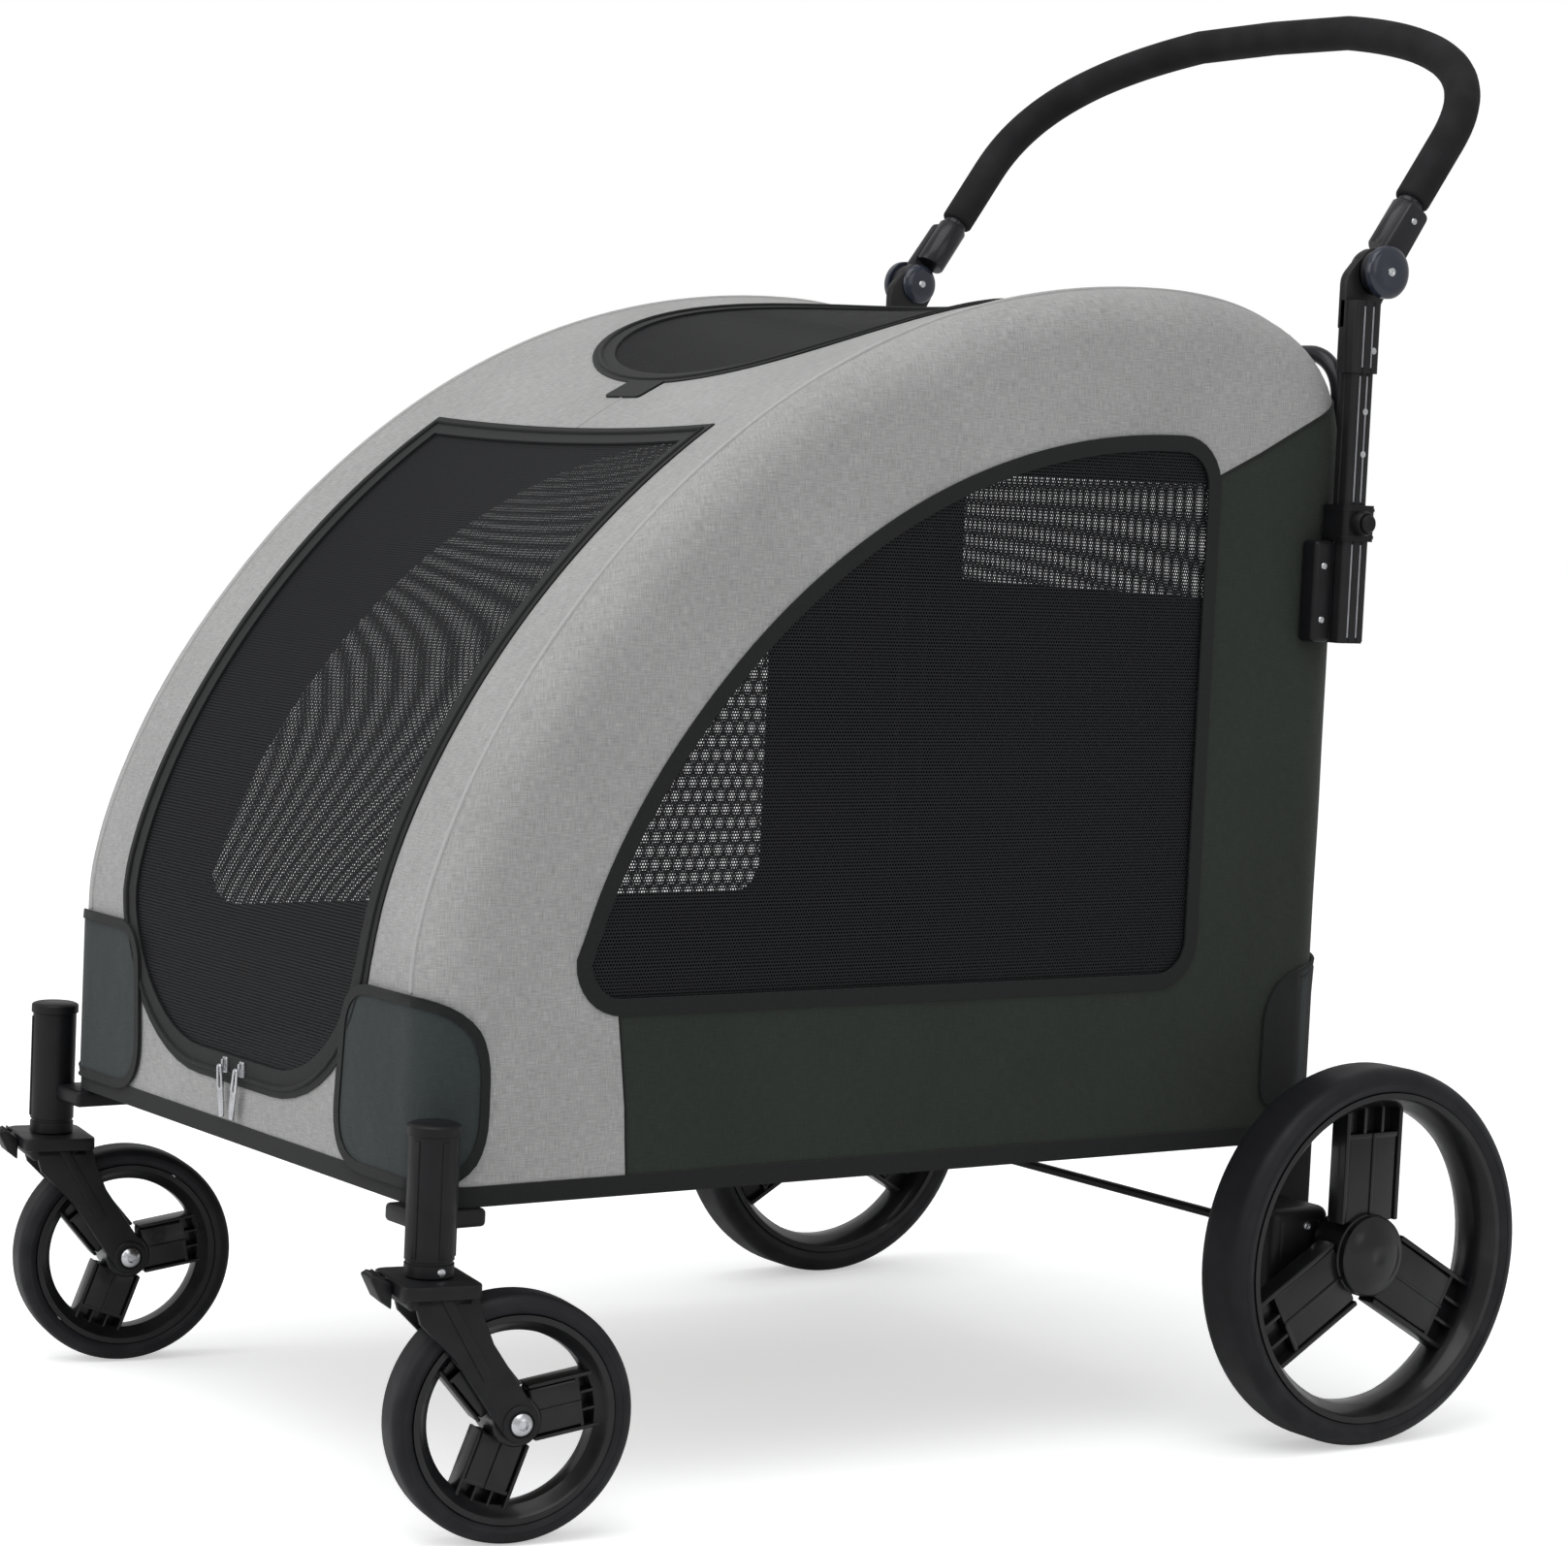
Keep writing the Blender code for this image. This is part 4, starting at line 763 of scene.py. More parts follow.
@dataclass
class CabinSurface:
    """The cabin's curved outer face, which every cloth cut is wrapped onto."""

    half_width: float = 0.260
    roll: float = 0.032
    roof_sag: float = 0.012
    drop: float = 0.117
    window_band: float = 0.105
    front: float = field(init=False)
    rear: float = field(init=False)
    foot: float = field(init=False)
    top: float = field(init=False)
    points: list[Point] = field(init=False)
    lengths: list[float] = field(init=False)

    def __post_init__(self) -> None:
        """Lay out the ridge from the canopy's own box, then down the rear edge."""
        low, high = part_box("canopy_panel")
        self.front, self.rear, self.foot, self.top = low[1], high[1], low[2], high[2]
        self.half_width = high[0]
        front, rear, top, foot = self.front, self.rear, self.top, self.foot
        crest = front + 0.578
        rise = [(front, foot + 0.1365), (front, foot + 0.2605), (front + 0.197, top), (crest, top)]
        fall = [(crest, top), (crest + 0.080, top), (rear, top - 0.021), (rear, top - self.drop + 0.006)]
        self.points = [(front, foot), (front, foot + 0.07)] + bezier(rise, 60) + bezier(fall, 30)[1:]
        self.points.append((rear, top - self.drop))
        self.lengths = self.measure(self.points)
        self.total = self.lengths[-1]
        self.points.append((rear, foot))
        self.lengths = self.measure(self.points)
        self.ridge_x = self.half_width - self.roll
        self.seam = self.roll * (pi / 2 - 1)

    @staticmethod
    def measure(points: list[Point]) -> list[float]:
        """Length along a line at each of its points."""
        made = [0.0]
        for a, b in zip(points, points[1:]):
            made.append(made[-1] + hypot(b[0] - a[0], b[1] - a[1]))
        return made

    def at(self, length: float) -> tuple[Vector, Vector]:
        """Point of the ridge and its outward direction, both as (y, z)."""
        length = min(max(length, 0.0), self.lengths[-1])
        i = min(max(bisect_left(self.lengths, length), 1), len(self.points) - 1)
        a, b = Vector(self.points[i - 1]), Vector(self.points[i])
        t = (length - self.lengths[i - 1]) / (self.lengths[i] - self.lengths[i - 1])
        back = Vector(self.points[max(i - 2, 0)])
        ahead = Vector(self.points[min(i + 1, len(self.points) - 1)])
        along = (b - back).normalized().lerp((ahead - a).normalized(), t).normalized()
        return a.lerp(b, t), Vector((-along.y, along.x))

    def sag(self, length: float) -> float:
        """How far the roof sinks midway between its ridges."""
        rise = min(max((length - 0.12) / 0.60, 0.0), 1.0)
        fall = min(max((self.total - length) / 0.16, 0.0), 1.0)
        return self.roof_sag * rise * rise * (3 - 2 * rise) * fall * fall * (3 - 2 * fall)

    def roof(self, x: float, length: float, lift: float) -> Vector:
        """Wrap a flat point of the roof.

        Args:
            x: distance across from the middle.
            length: distance along the ridge from the front foot.
            lift: height off the cloth's outer face.

        Returns:
            The wrapped point.
        """
        spot, out = self.at(length)
        outward = Vector((0.0, out.x, out.y))
        base = Vector((0.0, spot.x, spot.y))
        if abs(x) <= self.ridge_x:
            sink = self.sag(length) * (1 - (x / self.ridge_x) ** 2)
            return base + Vector((x, 0, 0)) + outward * (lift - sink)
        side = 1 if x > 0 else -1
        girth = (abs(x) - self.ridge_x) / self.roll
        turn = min(girth, pi / 2)
        radius = self.roll + lift
        beyond = max(girth - pi / 2, 0.0) * self.roll
        return (base + Vector((side * (self.ridge_x + radius * sin(turn)), 0, 0))
                + outward * (radius * cos(turn) - self.roll - beyond))

    def nearest(self, spot: Vector) -> tuple[Vector, Vector, float]:
        """Find the ridge point nearest to a point of the wall.

        Args:
            spot: the point, as (y, z).

        Returns:
            The ridge point, its outward direction, and how far inside the ridge the point is.
        """
        best = (9.0, Vector(), Vector())
        for i, (a, b) in enumerate(zip(self.points, self.points[1:])):
            ay, az, by, bz = a[0], a[1], b[0], b[1]
            if min(abs(ay - spot.x), abs(by - spot.x)) > 0.08 and abs(ay - by) < 0.05 and not ay == by:
                continue
            dy, dz = by - ay, bz - az
            t = ((spot.x - ay) * dy + (spot.y - az) * dz) / (dy * dy + dz * dz)
            t = min(max(t, 0.0), 1.0)
            gap = hypot(ay + dy * t - spot.x, az + dz * t - spot.y)
            if gap < best[0]:
                best = (gap, Vector((ay + dy * t, az + dz * t)), self.lengths[i] + t * hypot(dy, dz))
        point, out = self.at(best[2])
        return point, out, (point - spot).dot(out)

    def wall(self, y: float, z: float, lift: float) -> Vector:
        """Wrap a flat point of the left wall; past the rolled edge it follows the ridge's bend."""
        spot = Vector((y, z))
        point, out, inside = self.nearest(spot)
        if inside >= self.roll:
            return Vector((self.half_width + lift, y, z))
        turn = min((self.roll - inside) / self.roll, pi / 2)
        radius = self.roll + lift
        placed = point + out * (radius * sin(turn) - self.roll)
        level = max(placed.y, self.foot) if z <= self.foot + 1e-4 else placed.y
        return Vector((self.ridge_x + radius * cos(turn), placed.x, level))

    def wall_outline(self) -> list[Point]:
        """The left wall's cut, rolled edge included."""
        steps = 150
        made = []
        for i in range(steps + 1):
            point, out = self.at(self.lengths[-1] * i / steps)
            made.append(tuple(point + out * self.seam))
        return made

    def inset(self, distance: float, start: float, end: float, steps: int) -> list[Point]:
        """A line inside the ridge at one distance from it."""
        made = []
        for i in range(steps + 1):
            point, out = self.at(start + (end - start) * i / steps)
            made.append(tuple(point - out * distance))
        return made

    def window(self, grow: float = 0.0) -> list[Point]:
        """The side window: parallel to the ridge, level below and upright behind."""
        corner = 0.030
        low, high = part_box("side_window_left")
        sill, rear = low[2] - 0.001, high[1] + 0.001
        front = self.front + self.window_band
        curve = [p for p in self.inset(self.window_band, 0.0, self.total, 110)
                 if p[1] > sill + 1.5 * corner and p[0] < rear - corner]
        crest = self.top - self.window_band
        outline = (curve + arc((rear - corner, crest - corner), corner, 90, 0)
                   + arc((rear - corner, sill + corner), corner, 0, -90)
                   + arc((front + corner, sill + corner), corner, -90, -180))
        return shifted(outline, grow) if grow else outline


def wrapped(bm: bmesh.types.BMesh, surface: Surface, ripple: Ripple | None = None) -> bmesh.types.BMesh:
    """Carry every vertex of a flat piece onto a surface.

    Args:
        bm: the flat piece, whose heights are distances off the surface.
        surface: turns (u, v, lift) into a place.
        ripple: optional extra lift at (u, v).

    Returns:
        The same bmesh.
    """
    for vert in bm.verts:
        u, v, w = vert.co
        vert.co = surface(u, v, w + (ripple(u, v) if ripple else 0.0))
    return bm


# ---------------------------------------------------------------- cabin

@dataclass
class Cabin:
    """Sewn cabin: roof, walls, windows, door, hatch, edging and patches."""

    surface: CabinSurface = field(default_factory=CabinSurface)
    skin: float = 0.0016
    proud: float = 0.0004
    cell: float = 0.0065
    hem: float = 0.004
    foot_band: float = 0.013
    patch_top: float = 0.127
    door_half: float = 0.172
    door_start: float = 0.046
    door_end: float = 0.572
    door_corner: float = 0.120
    hatch_half_width: float = 0.172
    hatch_half_length: float = 0.135
    hatch_middle: float = 0.790
    keep: float = 0.065

    def add(self, name: str, bm: bmesh.types.BMesh, finishes: list[Finish], slot: str, *replaced: str,
            body: str = "base", side: int = 1) -> bpy.types.Object:
        """Finish one piece of the cabin and fix it.

        Args:
            name: the piece's name.
            bm: its mesh, which is used up.
            finishes: its outer and inner finish.
            slot: its material slot; not used.
            replaced: the CAD nodes it stands for.
            body: the body it rides.
            side: 1 for left, -1 to mirror it to the right.

        Returns:
            The piece.
        """
        item = place(piece(name, bm, finishes, side), body, slot, *replaced)
        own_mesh(item)
        return item

    def laid(self, name: str, outline: list[Point], holes: list[list[Point]], cell: float, heights: Point,
             surface: Surface, finish: Finish, slot: str, *replaced: str, body: str = "base",
             side: int = 1) -> bpy.types.Object:
        """Cut a piece flat, lay it on a surface and add it.

        Args:
            name: the piece's name.
            outline: its flat cut.
            holes: openings in the cut.
            cell: size of its grid.
            heights: how far its two faces stand off the surface.
            surface: turns (u, v, lift) into a place.
            finish: its finish on both faces.
            slot: its material slot; not used.
            replaced: the CAD nodes it stands for.
            body: the body it rides.
            side: 1 for left, -1 to mirror it to the right.

        Returns:
            The piece.
        """
        bm = wrapped(flat_slab(outline, holes, cell, *heights), surface)
        bmesh.ops.recalc_face_normals(bm, faces=bm.faces)
        return self.add(name, bm, [finish, finish], slot, *replaced, body=body, side=side)

    def door(self, grow: float = 0.0) -> list[Point]:
        """The door's cut: square above, rounded below."""
        half, low, high = self.door_half + grow, self.door_start - grow, self.door_end + grow
        corner = self.door_corner + grow
        return (arc((-half + corner, low + corner), corner, 180, 270, 12)
                + arc((half - corner, low + corner), corner, 270, 360, 12)
                + rounded([(half, high), (-half, high)], [0, 0]))

    def door_dense(self, grow: float = 0.0, step: float = 0.006) -> list[Point]:
        """The door's edge with points at even steps, so that it bends with the roof."""
        return dense(self.door(grow), step)

    def hatch(self, grow: float = 0.0) -> list[Point]:
        """The hatch's oval cut."""
        wide, long = self.hatch_half_width + grow, self.hatch_half_length + grow
        return [(x * wide, self.hatch_middle + y * long) for x, y in arc((0, 0), 1.0, 0, 355, 71)]

    def roof_ripple(self, x: float, length: float) -> float:
        """Slight pulls in the roof's cloth, strongest near its corners."""
        edge = 1 - (x / self.surface.ridge_x) ** 2
        return 0.0002 * edge * sin(length * 31 + x * 14) + 0.0001 * edge * sin(x * 47 - length * 22)

    def wall_ripple(self, y: float, z: float) -> float:
        """Slight pulls in the walls' cloth."""
        return 0.0002 * sin(y * 37 + z * 19) + 0.0001 * sin(z * 55 - y * 12)

    def build(self) -> None:
        """Make every piece of the cabin."""
        self.roof_cloth()
        self.rear_wall()
        for side, name in SIDES:
            self.side_wall(side, name)
            self.patches(side, name)
            self.edging(side, name)
        self.door_leaf()
        self.roof_hatch()
        self.front_details()

    def roof_cloth(self) -> None:
        """The front and roof in one sheet, with its two openings."""
        s = self.surface
        outline = [(-s.ridge_x, 0.0), (s.ridge_x, 0.0), (s.ridge_x, s.total), (-s.ridge_x, s.total)]
        holes = [self.door_dense(0.0006), self.hatch(0.0006)]
        bm = flat_slab(outline, holes, self.cell, -self.skin, self.proud)
        item = self.add("roof_cloth", wrapped(bm, s.roof, self.roof_ripple), [LIGHT_CLOTH, LINING],
                        "light_fabric", "canopy_panel")
        area = polygon_area(outline) - sum(polygon_area(hole) for hole in holes)

    def rear_wall(self) -> None:
        """The dark wall behind, with its net window."""
        s = self.surface
        high = s.top - s.drop
        low_w, high_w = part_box("rear_window")
        half, z0, z1 = high_w[0], low_w[2], high_w[2]
        outline = [(-s.ridge_x, s.foot), (s.ridge_x, s.foot), (s.ridge_x, high), (-s.ridge_x, high)]
        opening = rounded([(-half, z0), (half, z0), (half, z1), (-half, z1)], 0.012)

        def back(u: float, v: float, lift: float) -> Vector:
            """Stand a flat point up in the rear wall."""
            return Vector((u, s.rear + lift, v))

        bm = wrapped(flat_slab(outline, [opening], 0.012, -self.skin, self.proud), back,
                     lambda u, v: 0.0008 * sin(u * 23 + v * 31))
        bmesh.ops.reverse_faces(bm, faces=bm.faces)
        item = self.add("rear_cloth", bm, [DARK_CLOTH, LINING], "dark_fabric", "rear_panel")
        polygon_area(outline) - polygon_area(opening)
        net = wrapped(flat_slab(shifted(opening, self.hem), [], 0.010, -0.0012, -0.0008), back)
        bmesh.ops.reverse_faces(net, faces=net.faces)
        item = self.add("rear_net", net, [NET, NET], "mesh_cloth", "rear_window")
        polygon_area(shifted(opening, self.hem))
        outer, inner = dense(shifted(opening, 0.006), 0.01), dense(shifted(opening, -0.006), 0.01)
        ring = flat_slab(outer, [inner], 0.02, 0.0002, 0.0016)
        bm = wrapped(ring, back)
        bmesh.ops.reverse_faces(bm, faces=bm.faces)
        self.add("rear_net_binding", bm, [TAPE, TAPE], "dark_fabric")

    def seam_line(self) -> tuple[list[Point], list[Point]]:
        """Where light cloth meets dark: behind the window, and below its front corner."""
        s = self.surface
        upper = [(0.186, 0.676), (0.230, 0.6965), (0.289, 0.727), (0.400, 0.790)]
        lower = [(-0.287, 0.324), (-0.279, 0.262), (-0.272, s.foot - 0.05)]
        return upper, lower

    def side_wall(self, side: int, name: str) -> None:
        """One wall: light arch, dark lower and rear part, net window and its binding.

        Args:
            side: 1 for left, -1 for right.
            name: left or right.
        """
        s = self.surface
        outline, window = s.wall_outline(), s.window()
        upper, lower = self.seam_line()
        far, under = 0.62, s.foot - 0.05
        border = upper[::-1] + [(0.0, 0.50), (-0.15, 0.40)] + lower
        areas = {"light": (border + [(-far, under), (-far, 1.1), (0.45, 1.1)], LIGHT_CLOTH),
                 "dark": (border + [(0.5, under), (0.5, 0.79)], DARK_CLOTH)}
        for label, (area_outline, finish) in areas.items():
            bm = trimmed_wall(outline, area_outline, window, self.cell, -self.skin, self.proud)
            faces = [face for face in bm.faces if face.normal.z > 0.5]
            area = sum(face.calc_area() for face in faces)
            wrapped(bm, s.wall, self.wall_ripple)
            bmesh.ops.recalc_face_normals(bm, faces=bm.faces)
            item = self.add(f"side_{label}_{name}", bm, [finish, LINING], f"{label}_fabric",
                            f"side_panel_{name}", side=side)
        net = s.window(self.hem)
        item = self.laid(f"side_net_{name}", net, [], 0.012, (-0.0014, -0.0010), s.wall, NET, "mesh_cloth",
                         f"side_window_{name}", side=side)
        polygon_area(net)
        outer, inner = dense(s.window(0.0055), 0.01), dense(s.window(-0.0055), 0.01)
        self.laid(f"window_binding_{name}", outer, [inner], 0.02, (0.0002, 0.0018), s.wall, TAPE,
                  "dark_fabric", side=side)

    def edging(self, side: int, name: str) -> None:
        """Lighter piping along the ridge, its extra lightness a painted highlight, the seams, and the dark
        band round the foot.

        Args:
            side: 1 for left, -1 for right.
            name: left or right.
        """
        s = self.surface
        steps, low = 170, self.patch_top + self.hem
        rises = [low + (s.total - low) * i / steps for i in range(steps + 1)]
        # Painted highlight: the ridge piping's lighter finish stands in for light along the rolled ridge.
        bm = tube([s.roof(s.ridge_x + 0.001, rise, 0.0002) for rise in rises], 0.0019, sides=3)
        band_uv(bm)
        self.add(f"ridge_highlight_piping_{name}", bm, [HIGHLIGHT_PIPING], "light_fabric", side=side)
        lines = []
        for line in self.seam_line():
            spots = [p for p in dense(line, 0.006, closed=False) if s.foot + 0.002 < p[1]]
            spots = [p for p in spots if s.nearest(Vector(p))[2] > -s.seam + 0.002]
            lines.append(tube([s.wall(p[0], p[1], 0.0004) for p in spots], 0.0011, sides=2))
        bm = joined(lines)
        band_uv(bm)
        self.add(f"side_seams_{name}", bm, [TAPE], "dark_fabric", side=side)
        front, rear, high = s.front - s.seam, s.rear + s.seam, s.foot + self.foot_band
        strip = [(front, s.foot), (rear, s.foot), (rear, high), (front, high)]
        self.laid(f"foot_band_{name}", strip, [], 0.006, (0.0003, 0.0016), s.wall, TAPE, "dark_fabric",
                  side=side)

    def patches(self, side: int, name: str) -> None:
        """Bound corner patches: one round the front corner, one on the rear corner.

        Args:
            side: 1 for left, -1 for right.
            name: left or right.
        """
        s = self.surface
        reach = s.roll * pi / 2 + 0.004

        def front_corner(u: float, v: float, lift: float) -> Vector:
            """Wrap a flat point round the front corner: u grows from the front face to the side."""
            return s.roof(s.ridge_x + u, max(v, 0.0), lift)

        low, high = 0.012, self.patch_top
        front = rounded([(-0.087, low), (reach, low), (reach, high), (-0.078, high)],
                        [0.040, 0.045, 0.050, 0.030], 10)
        edge = s.rear + s.seam - 0.004
        rear = rounded([(0.262, 0.236), (edge, 0.236), (edge, 0.338), (0.262, 0.322)],
                       [0.012, 0.002, 0.002, 0.034], 10)
        for label, outline, surface in (("front", front, front_corner), ("rear", rear, s.wall)):
            self.laid(f"{label}_patch_{name}", outline, [], 0.006, (0.0014, 0.0026), surface, PATCH_CLOTH,
                      "dark_fabric", side=side)
            outer, inner = dense(shifted(outline, 0.0025), 0.006), dense(shifted(outline, -0.0040), 0.006)
            self.laid(f"{label}_patch_binding_{name}", outer, [inner], 0.02, (0.0016, 0.0038), surface,
                      TAPE,
                      "dark_fabric", side=side)

    def framed_leaf(self, name: str, node: str, edges: dict[str, list[Point]]) -> None:
        """A net leaf in a bound edge, with the zip's fixed tape and teeth round it.

        Args:
            name: the leaf's name, which is also its body's.
            node: the CAD node it stands for.
            edges: outlines: the leaf's own edge, the outer edge of the zip's tape, the inner edge of the
                binding, and the line of the teeth.
        """
        roof, edge = self.surface.roof, edges["edge"]
        item = self.laid(f"{name}_net", edge, [], 0.009, (-0.0010, -0.0006), roof, NET, "mesh_cloth", node,
                         body=name)
        polygon_area(edge)
        self.laid(f"{name}_binding", edge, [edges["inner"]], 0.02, (-0.0004, 0.0011), roof, TAPE,
                  "dark_fabric", body=name)
        self.laid(f"{name}_zip_tape", edges["tape"], [shifted(edge, 0.0008)], 0.02, (0.0004, 0.0016), roof,
                  TAPE, "dark_fabric")
        self.zip_coil(f"{name}_zip_coil", edges["teeth"])

    def door_leaf(self) -> None:
        """The front door's net, binding and zip."""
        edges = {"edge": self.door_dense(), "tape": self.door_dense(0.0075),
                 "inner": self.door_dense(-0.011), "teeth": self.door_dense(0.0012)}
        self.framed_leaf("door", "door_panel", edges)

    def roof_hatch(self) -> None:
        """The roof hatch's net, binding and zip."""
        edges = {"edge": self.hatch(), "tape": self.hatch(0.007), "inner": self.hatch(-0.010),
                 "teeth": self.hatch(0.0012)}
        self.framed_leaf("hatch", "roof_hatch", edges)

    def zip_coil(self, name: str, edge: list[Point]) -> None:
        """The raised line of zip teeth along an opening.

        Args:
            name: the piece's name.
            edge: the line, as (across, along the ridge) points.
        """
        s = self.surface
        path = [s.roof(p[0], p[1], 0.0016) for p in edge]
        bm = tube(path, 0.0016, closed=True, sides=3)
        band_uv(bm, 1.6)
        self.add(name, bm, [TAPE], "dark_fabric")

    def front_details(self) -> None:
        """Hook-and-loop tab, centre seams and the front's foot band."""
        s = self.surface
        low = self.hatch_middle - self.hatch_half_length
        half, front, rear = 0.022, low - 0.030, low - 0.004
        tab = rounded([(-half, front), (half, front), (half, rear), (-half, rear)], 0.004)
        self.laid("hook_and_loop_tab", tab, [], 0.006, (0.0004, 0.0020), s.roof, TAPE, "dark_fabric")
        seams, steps = [], 8
        for start, end in ((0.014, self.door_start - 0.008), (self.door_end + 0.008, front)):
            path = [s.roof(0.0, start + (end - start) * i / steps, 0.0004) for i in range(steps + 1)]
            seams.append(tube(path, 0.0009, sides=2))
        bm = joined(seams)
        band_uv(bm)
        # The centre seams use the lighter piping finish, which carries the painted highlight.
        self.add("centre_seams", bm, [HIGHLIGHT_PIPING], "light_fabric")
        strip = [(-s.ridge_x, 0.0), (s.ridge_x, 0.0), (s.ridge_x, self.foot_band),
                 (-s.ridge_x, self.foot_band)]
        self.laid("foot_band_front", strip, [], 0.012, (0.0003, 0.0016), s.roof, TAPE, "dark_fabric")


def trimmed_wall(outline: list[Point], area: list[Point], window: list[Point], cell: float, low: float,
                 high: float) -> bmesh.types.BMesh:
    """The part of a wall's cut that lies inside an area, without the window.

    Args:
        outline: the whole wall's cut.
        area: outline of the part to keep.
        window: outline of the opening.
        cell: size of the grid.
        low: height of the inner face.
        high: height of the outer face.

    Returns:
        The new bmesh, flat.
    """
    bm = flat_slab(outline, [dense(window, 0.008)], cell, low, high)
    wall, cutter = hidden("wall", bm), hidden("area", plate(area, low - 0.01, high + 0.01, "Z"))
    step = wall.modifiers.new("cut", "BOOLEAN")
    step.operation, step.solver, step.object = "INTERSECT", "EXACT", cutter
    mesh = bpy.data.meshes.new_from_object(wall.evaluated_get(bpy.context.evaluated_depsgraph_get()))
    made = bmesh.new()
    made.from_mesh(mesh)
    for item in (wall, cutter):
        bpy.data.objects.remove(item, do_unlink=True)
    bmesh.ops.remove_doubles(made, verts=made.verts, dist=1e-6)
    flat = made.loops.layers.uv.get("flat") or made.loops.layers.uv.new("flat")
    for face in made.faces:
        face.material_index = 1 if face.normal.z < -0.5 else 0
        for loop in face.loops:
            loop[flat].uv = loop.vert.co.xy
    return made


def dense(points: list[Point], step: float, closed: bool = True) -> list[Point]:
    """Add points to a line so that none are further apart than a step."""
    made: list[Point] = []
    ends = points[1:] + points[:1] if closed else points[1:]
    for a, b in zip(points, ends):
        count = max(ceil(hypot(b[0] - a[0], b[1] - a[1]) / step), 1)
        made += [(a[0] + (b[0] - a[0]) * i / count, a[1] + (b[1] - a[1]) * i / count) for i in range(count)]
    return made if closed else made + [points[-1]]


# ---------------------------------------------------------------- running gear

@dataclass
class Wheel:
    """A tyre on a three-spoked moulded rim, turning about X."""

    radius: float
    width: float
    tyre: float
    rim: float
    hub: float
    hub_ends: Point
    bore: float
    spoke: float
    spoke_half: float
    first_spoke: float = 0.0

    def tyre_mesh(self) -> bmesh.types.BMesh:
        """A full section with round shoulders and a raised line where the side wall ends."""
        half, inner, top = self.width / 2, self.radius - self.tyre, self.radius
        shoulder = min(self.tyre * 0.62, half * 0.5)
        corner = rounded([(-half + 0.003, inner), (-half - 0.0002, inner + 0.35 * self.tyre),
                          (-half + 0.0012, top),
                          (half - 0.0012, top), (half + 0.0002, inner + 0.35 * self.tyre),
                          (half - 0.003, inner)],
                         [0.0008, 0.003, shoulder, shoulder, 0.003, 0.0008], 8)
        return turned(corner, (0, 0, 0), steps=120, closed=True)

    def rim_mesh(self) -> bmesh.types.BMesh:
        """Dished rim band, hub barrel and ribbed spokes."""
        half = self.width / 2 - 0.002
        outer = self.radius - self.tyre - 0.0003
        inner = outer - self.rim
        step = self.rim / 3
        band = [(-half, inner + 2 * step), (-half, outer), (half, outer), (half, inner + 2 * step),
                (half - 0.0018, inner + 1.6 * step), (half * 0.72, inner + 1.2 * step),
                (half * 0.45, inner + 0.2 * step),
                (0, inner), (-half * 0.45, inner + 0.2 * step), (-half * 0.72, inner + 1.2 * step),
                (-half + 0.0018, inner + 1.6 * step)]
        low, high = self.hub_ends
        barrel = [(low, self.bore), (low, self.hub - 0.001), (low + 0.001, self.hub),
                  (high - 0.001, self.hub),
                  (high, self.hub - 0.001), (high, self.hub * 0.72), (high - 0.0015, self.hub * 0.66),
                  (high - 0.0015, self.bore)]
        parts = [turned(band, (0, 0, 0), steps=120, closed=True),
                 turned(barrel, (0, 0, 0), steps=64, closed=True)]
        for k in range(3):
            arm = self.spoke_mesh(self.hub * 0.8, inner + 0.004)
            turn = Matrix.Rotation(self.first_spoke + 2 * pi * k / 3, 3, "X")
            bmesh.ops.rotate(arm, verts=arm.verts, cent=(0, 0, 0), matrix=turn)
            parts.append(arm)
        return joined(parts)

    def spoke_mesh(self, low: float, high: float) -> bmesh.types.BMesh:
        """One spoke: flanges, web, a raised middle panel and short ribs by the rim.

        Args:
            low: height of the spoke's root.
            high: height of its outer end.

        Returns:
            The spoke, pointing up.
        """
        half, depth, wall = self.spoke / 2, self.spoke_half, self.spoke * 0.07
        pocket = high - (high - low) * 0.26
        parts = [block((-depth * 0.45, -half + wall / 2, low), (-depth * 0.1, half - wall / 2, high),
                       0.0006, 2)]
        for edge in (-1, 1):
            ends = sorted((edge * half, edge * (half - wall)))
            parts.append(block((-depth, ends[0], low), (depth, ends[1], high), 0.0009, 2))
            ends = sorted((edge * half * 0.36, edge * (half * 0.36 - wall * 0.7)))
            parts.append(block((-depth * 0.85, ends[0], pocket), (depth * 0.85, ends[1], high), 0.0005, 2))
        parts.append(block((-depth * 0.9, -half * 0.84, low), (depth * 0.88, half * 0.84, pocket), 0.0020,
                           3))
        parts.append(block((-depth * 0.9, -half * 0.05, low), (depth * 1.02, half * 0.05, pocket), 0.0006,
                           2))
        parts.append(block((-depth * 0.9, -half + wall / 2, pocket - wall),
                           (depth * 0.9, half - wall / 2, pocket),
                           0.0006, 2))
        return joined(parts)


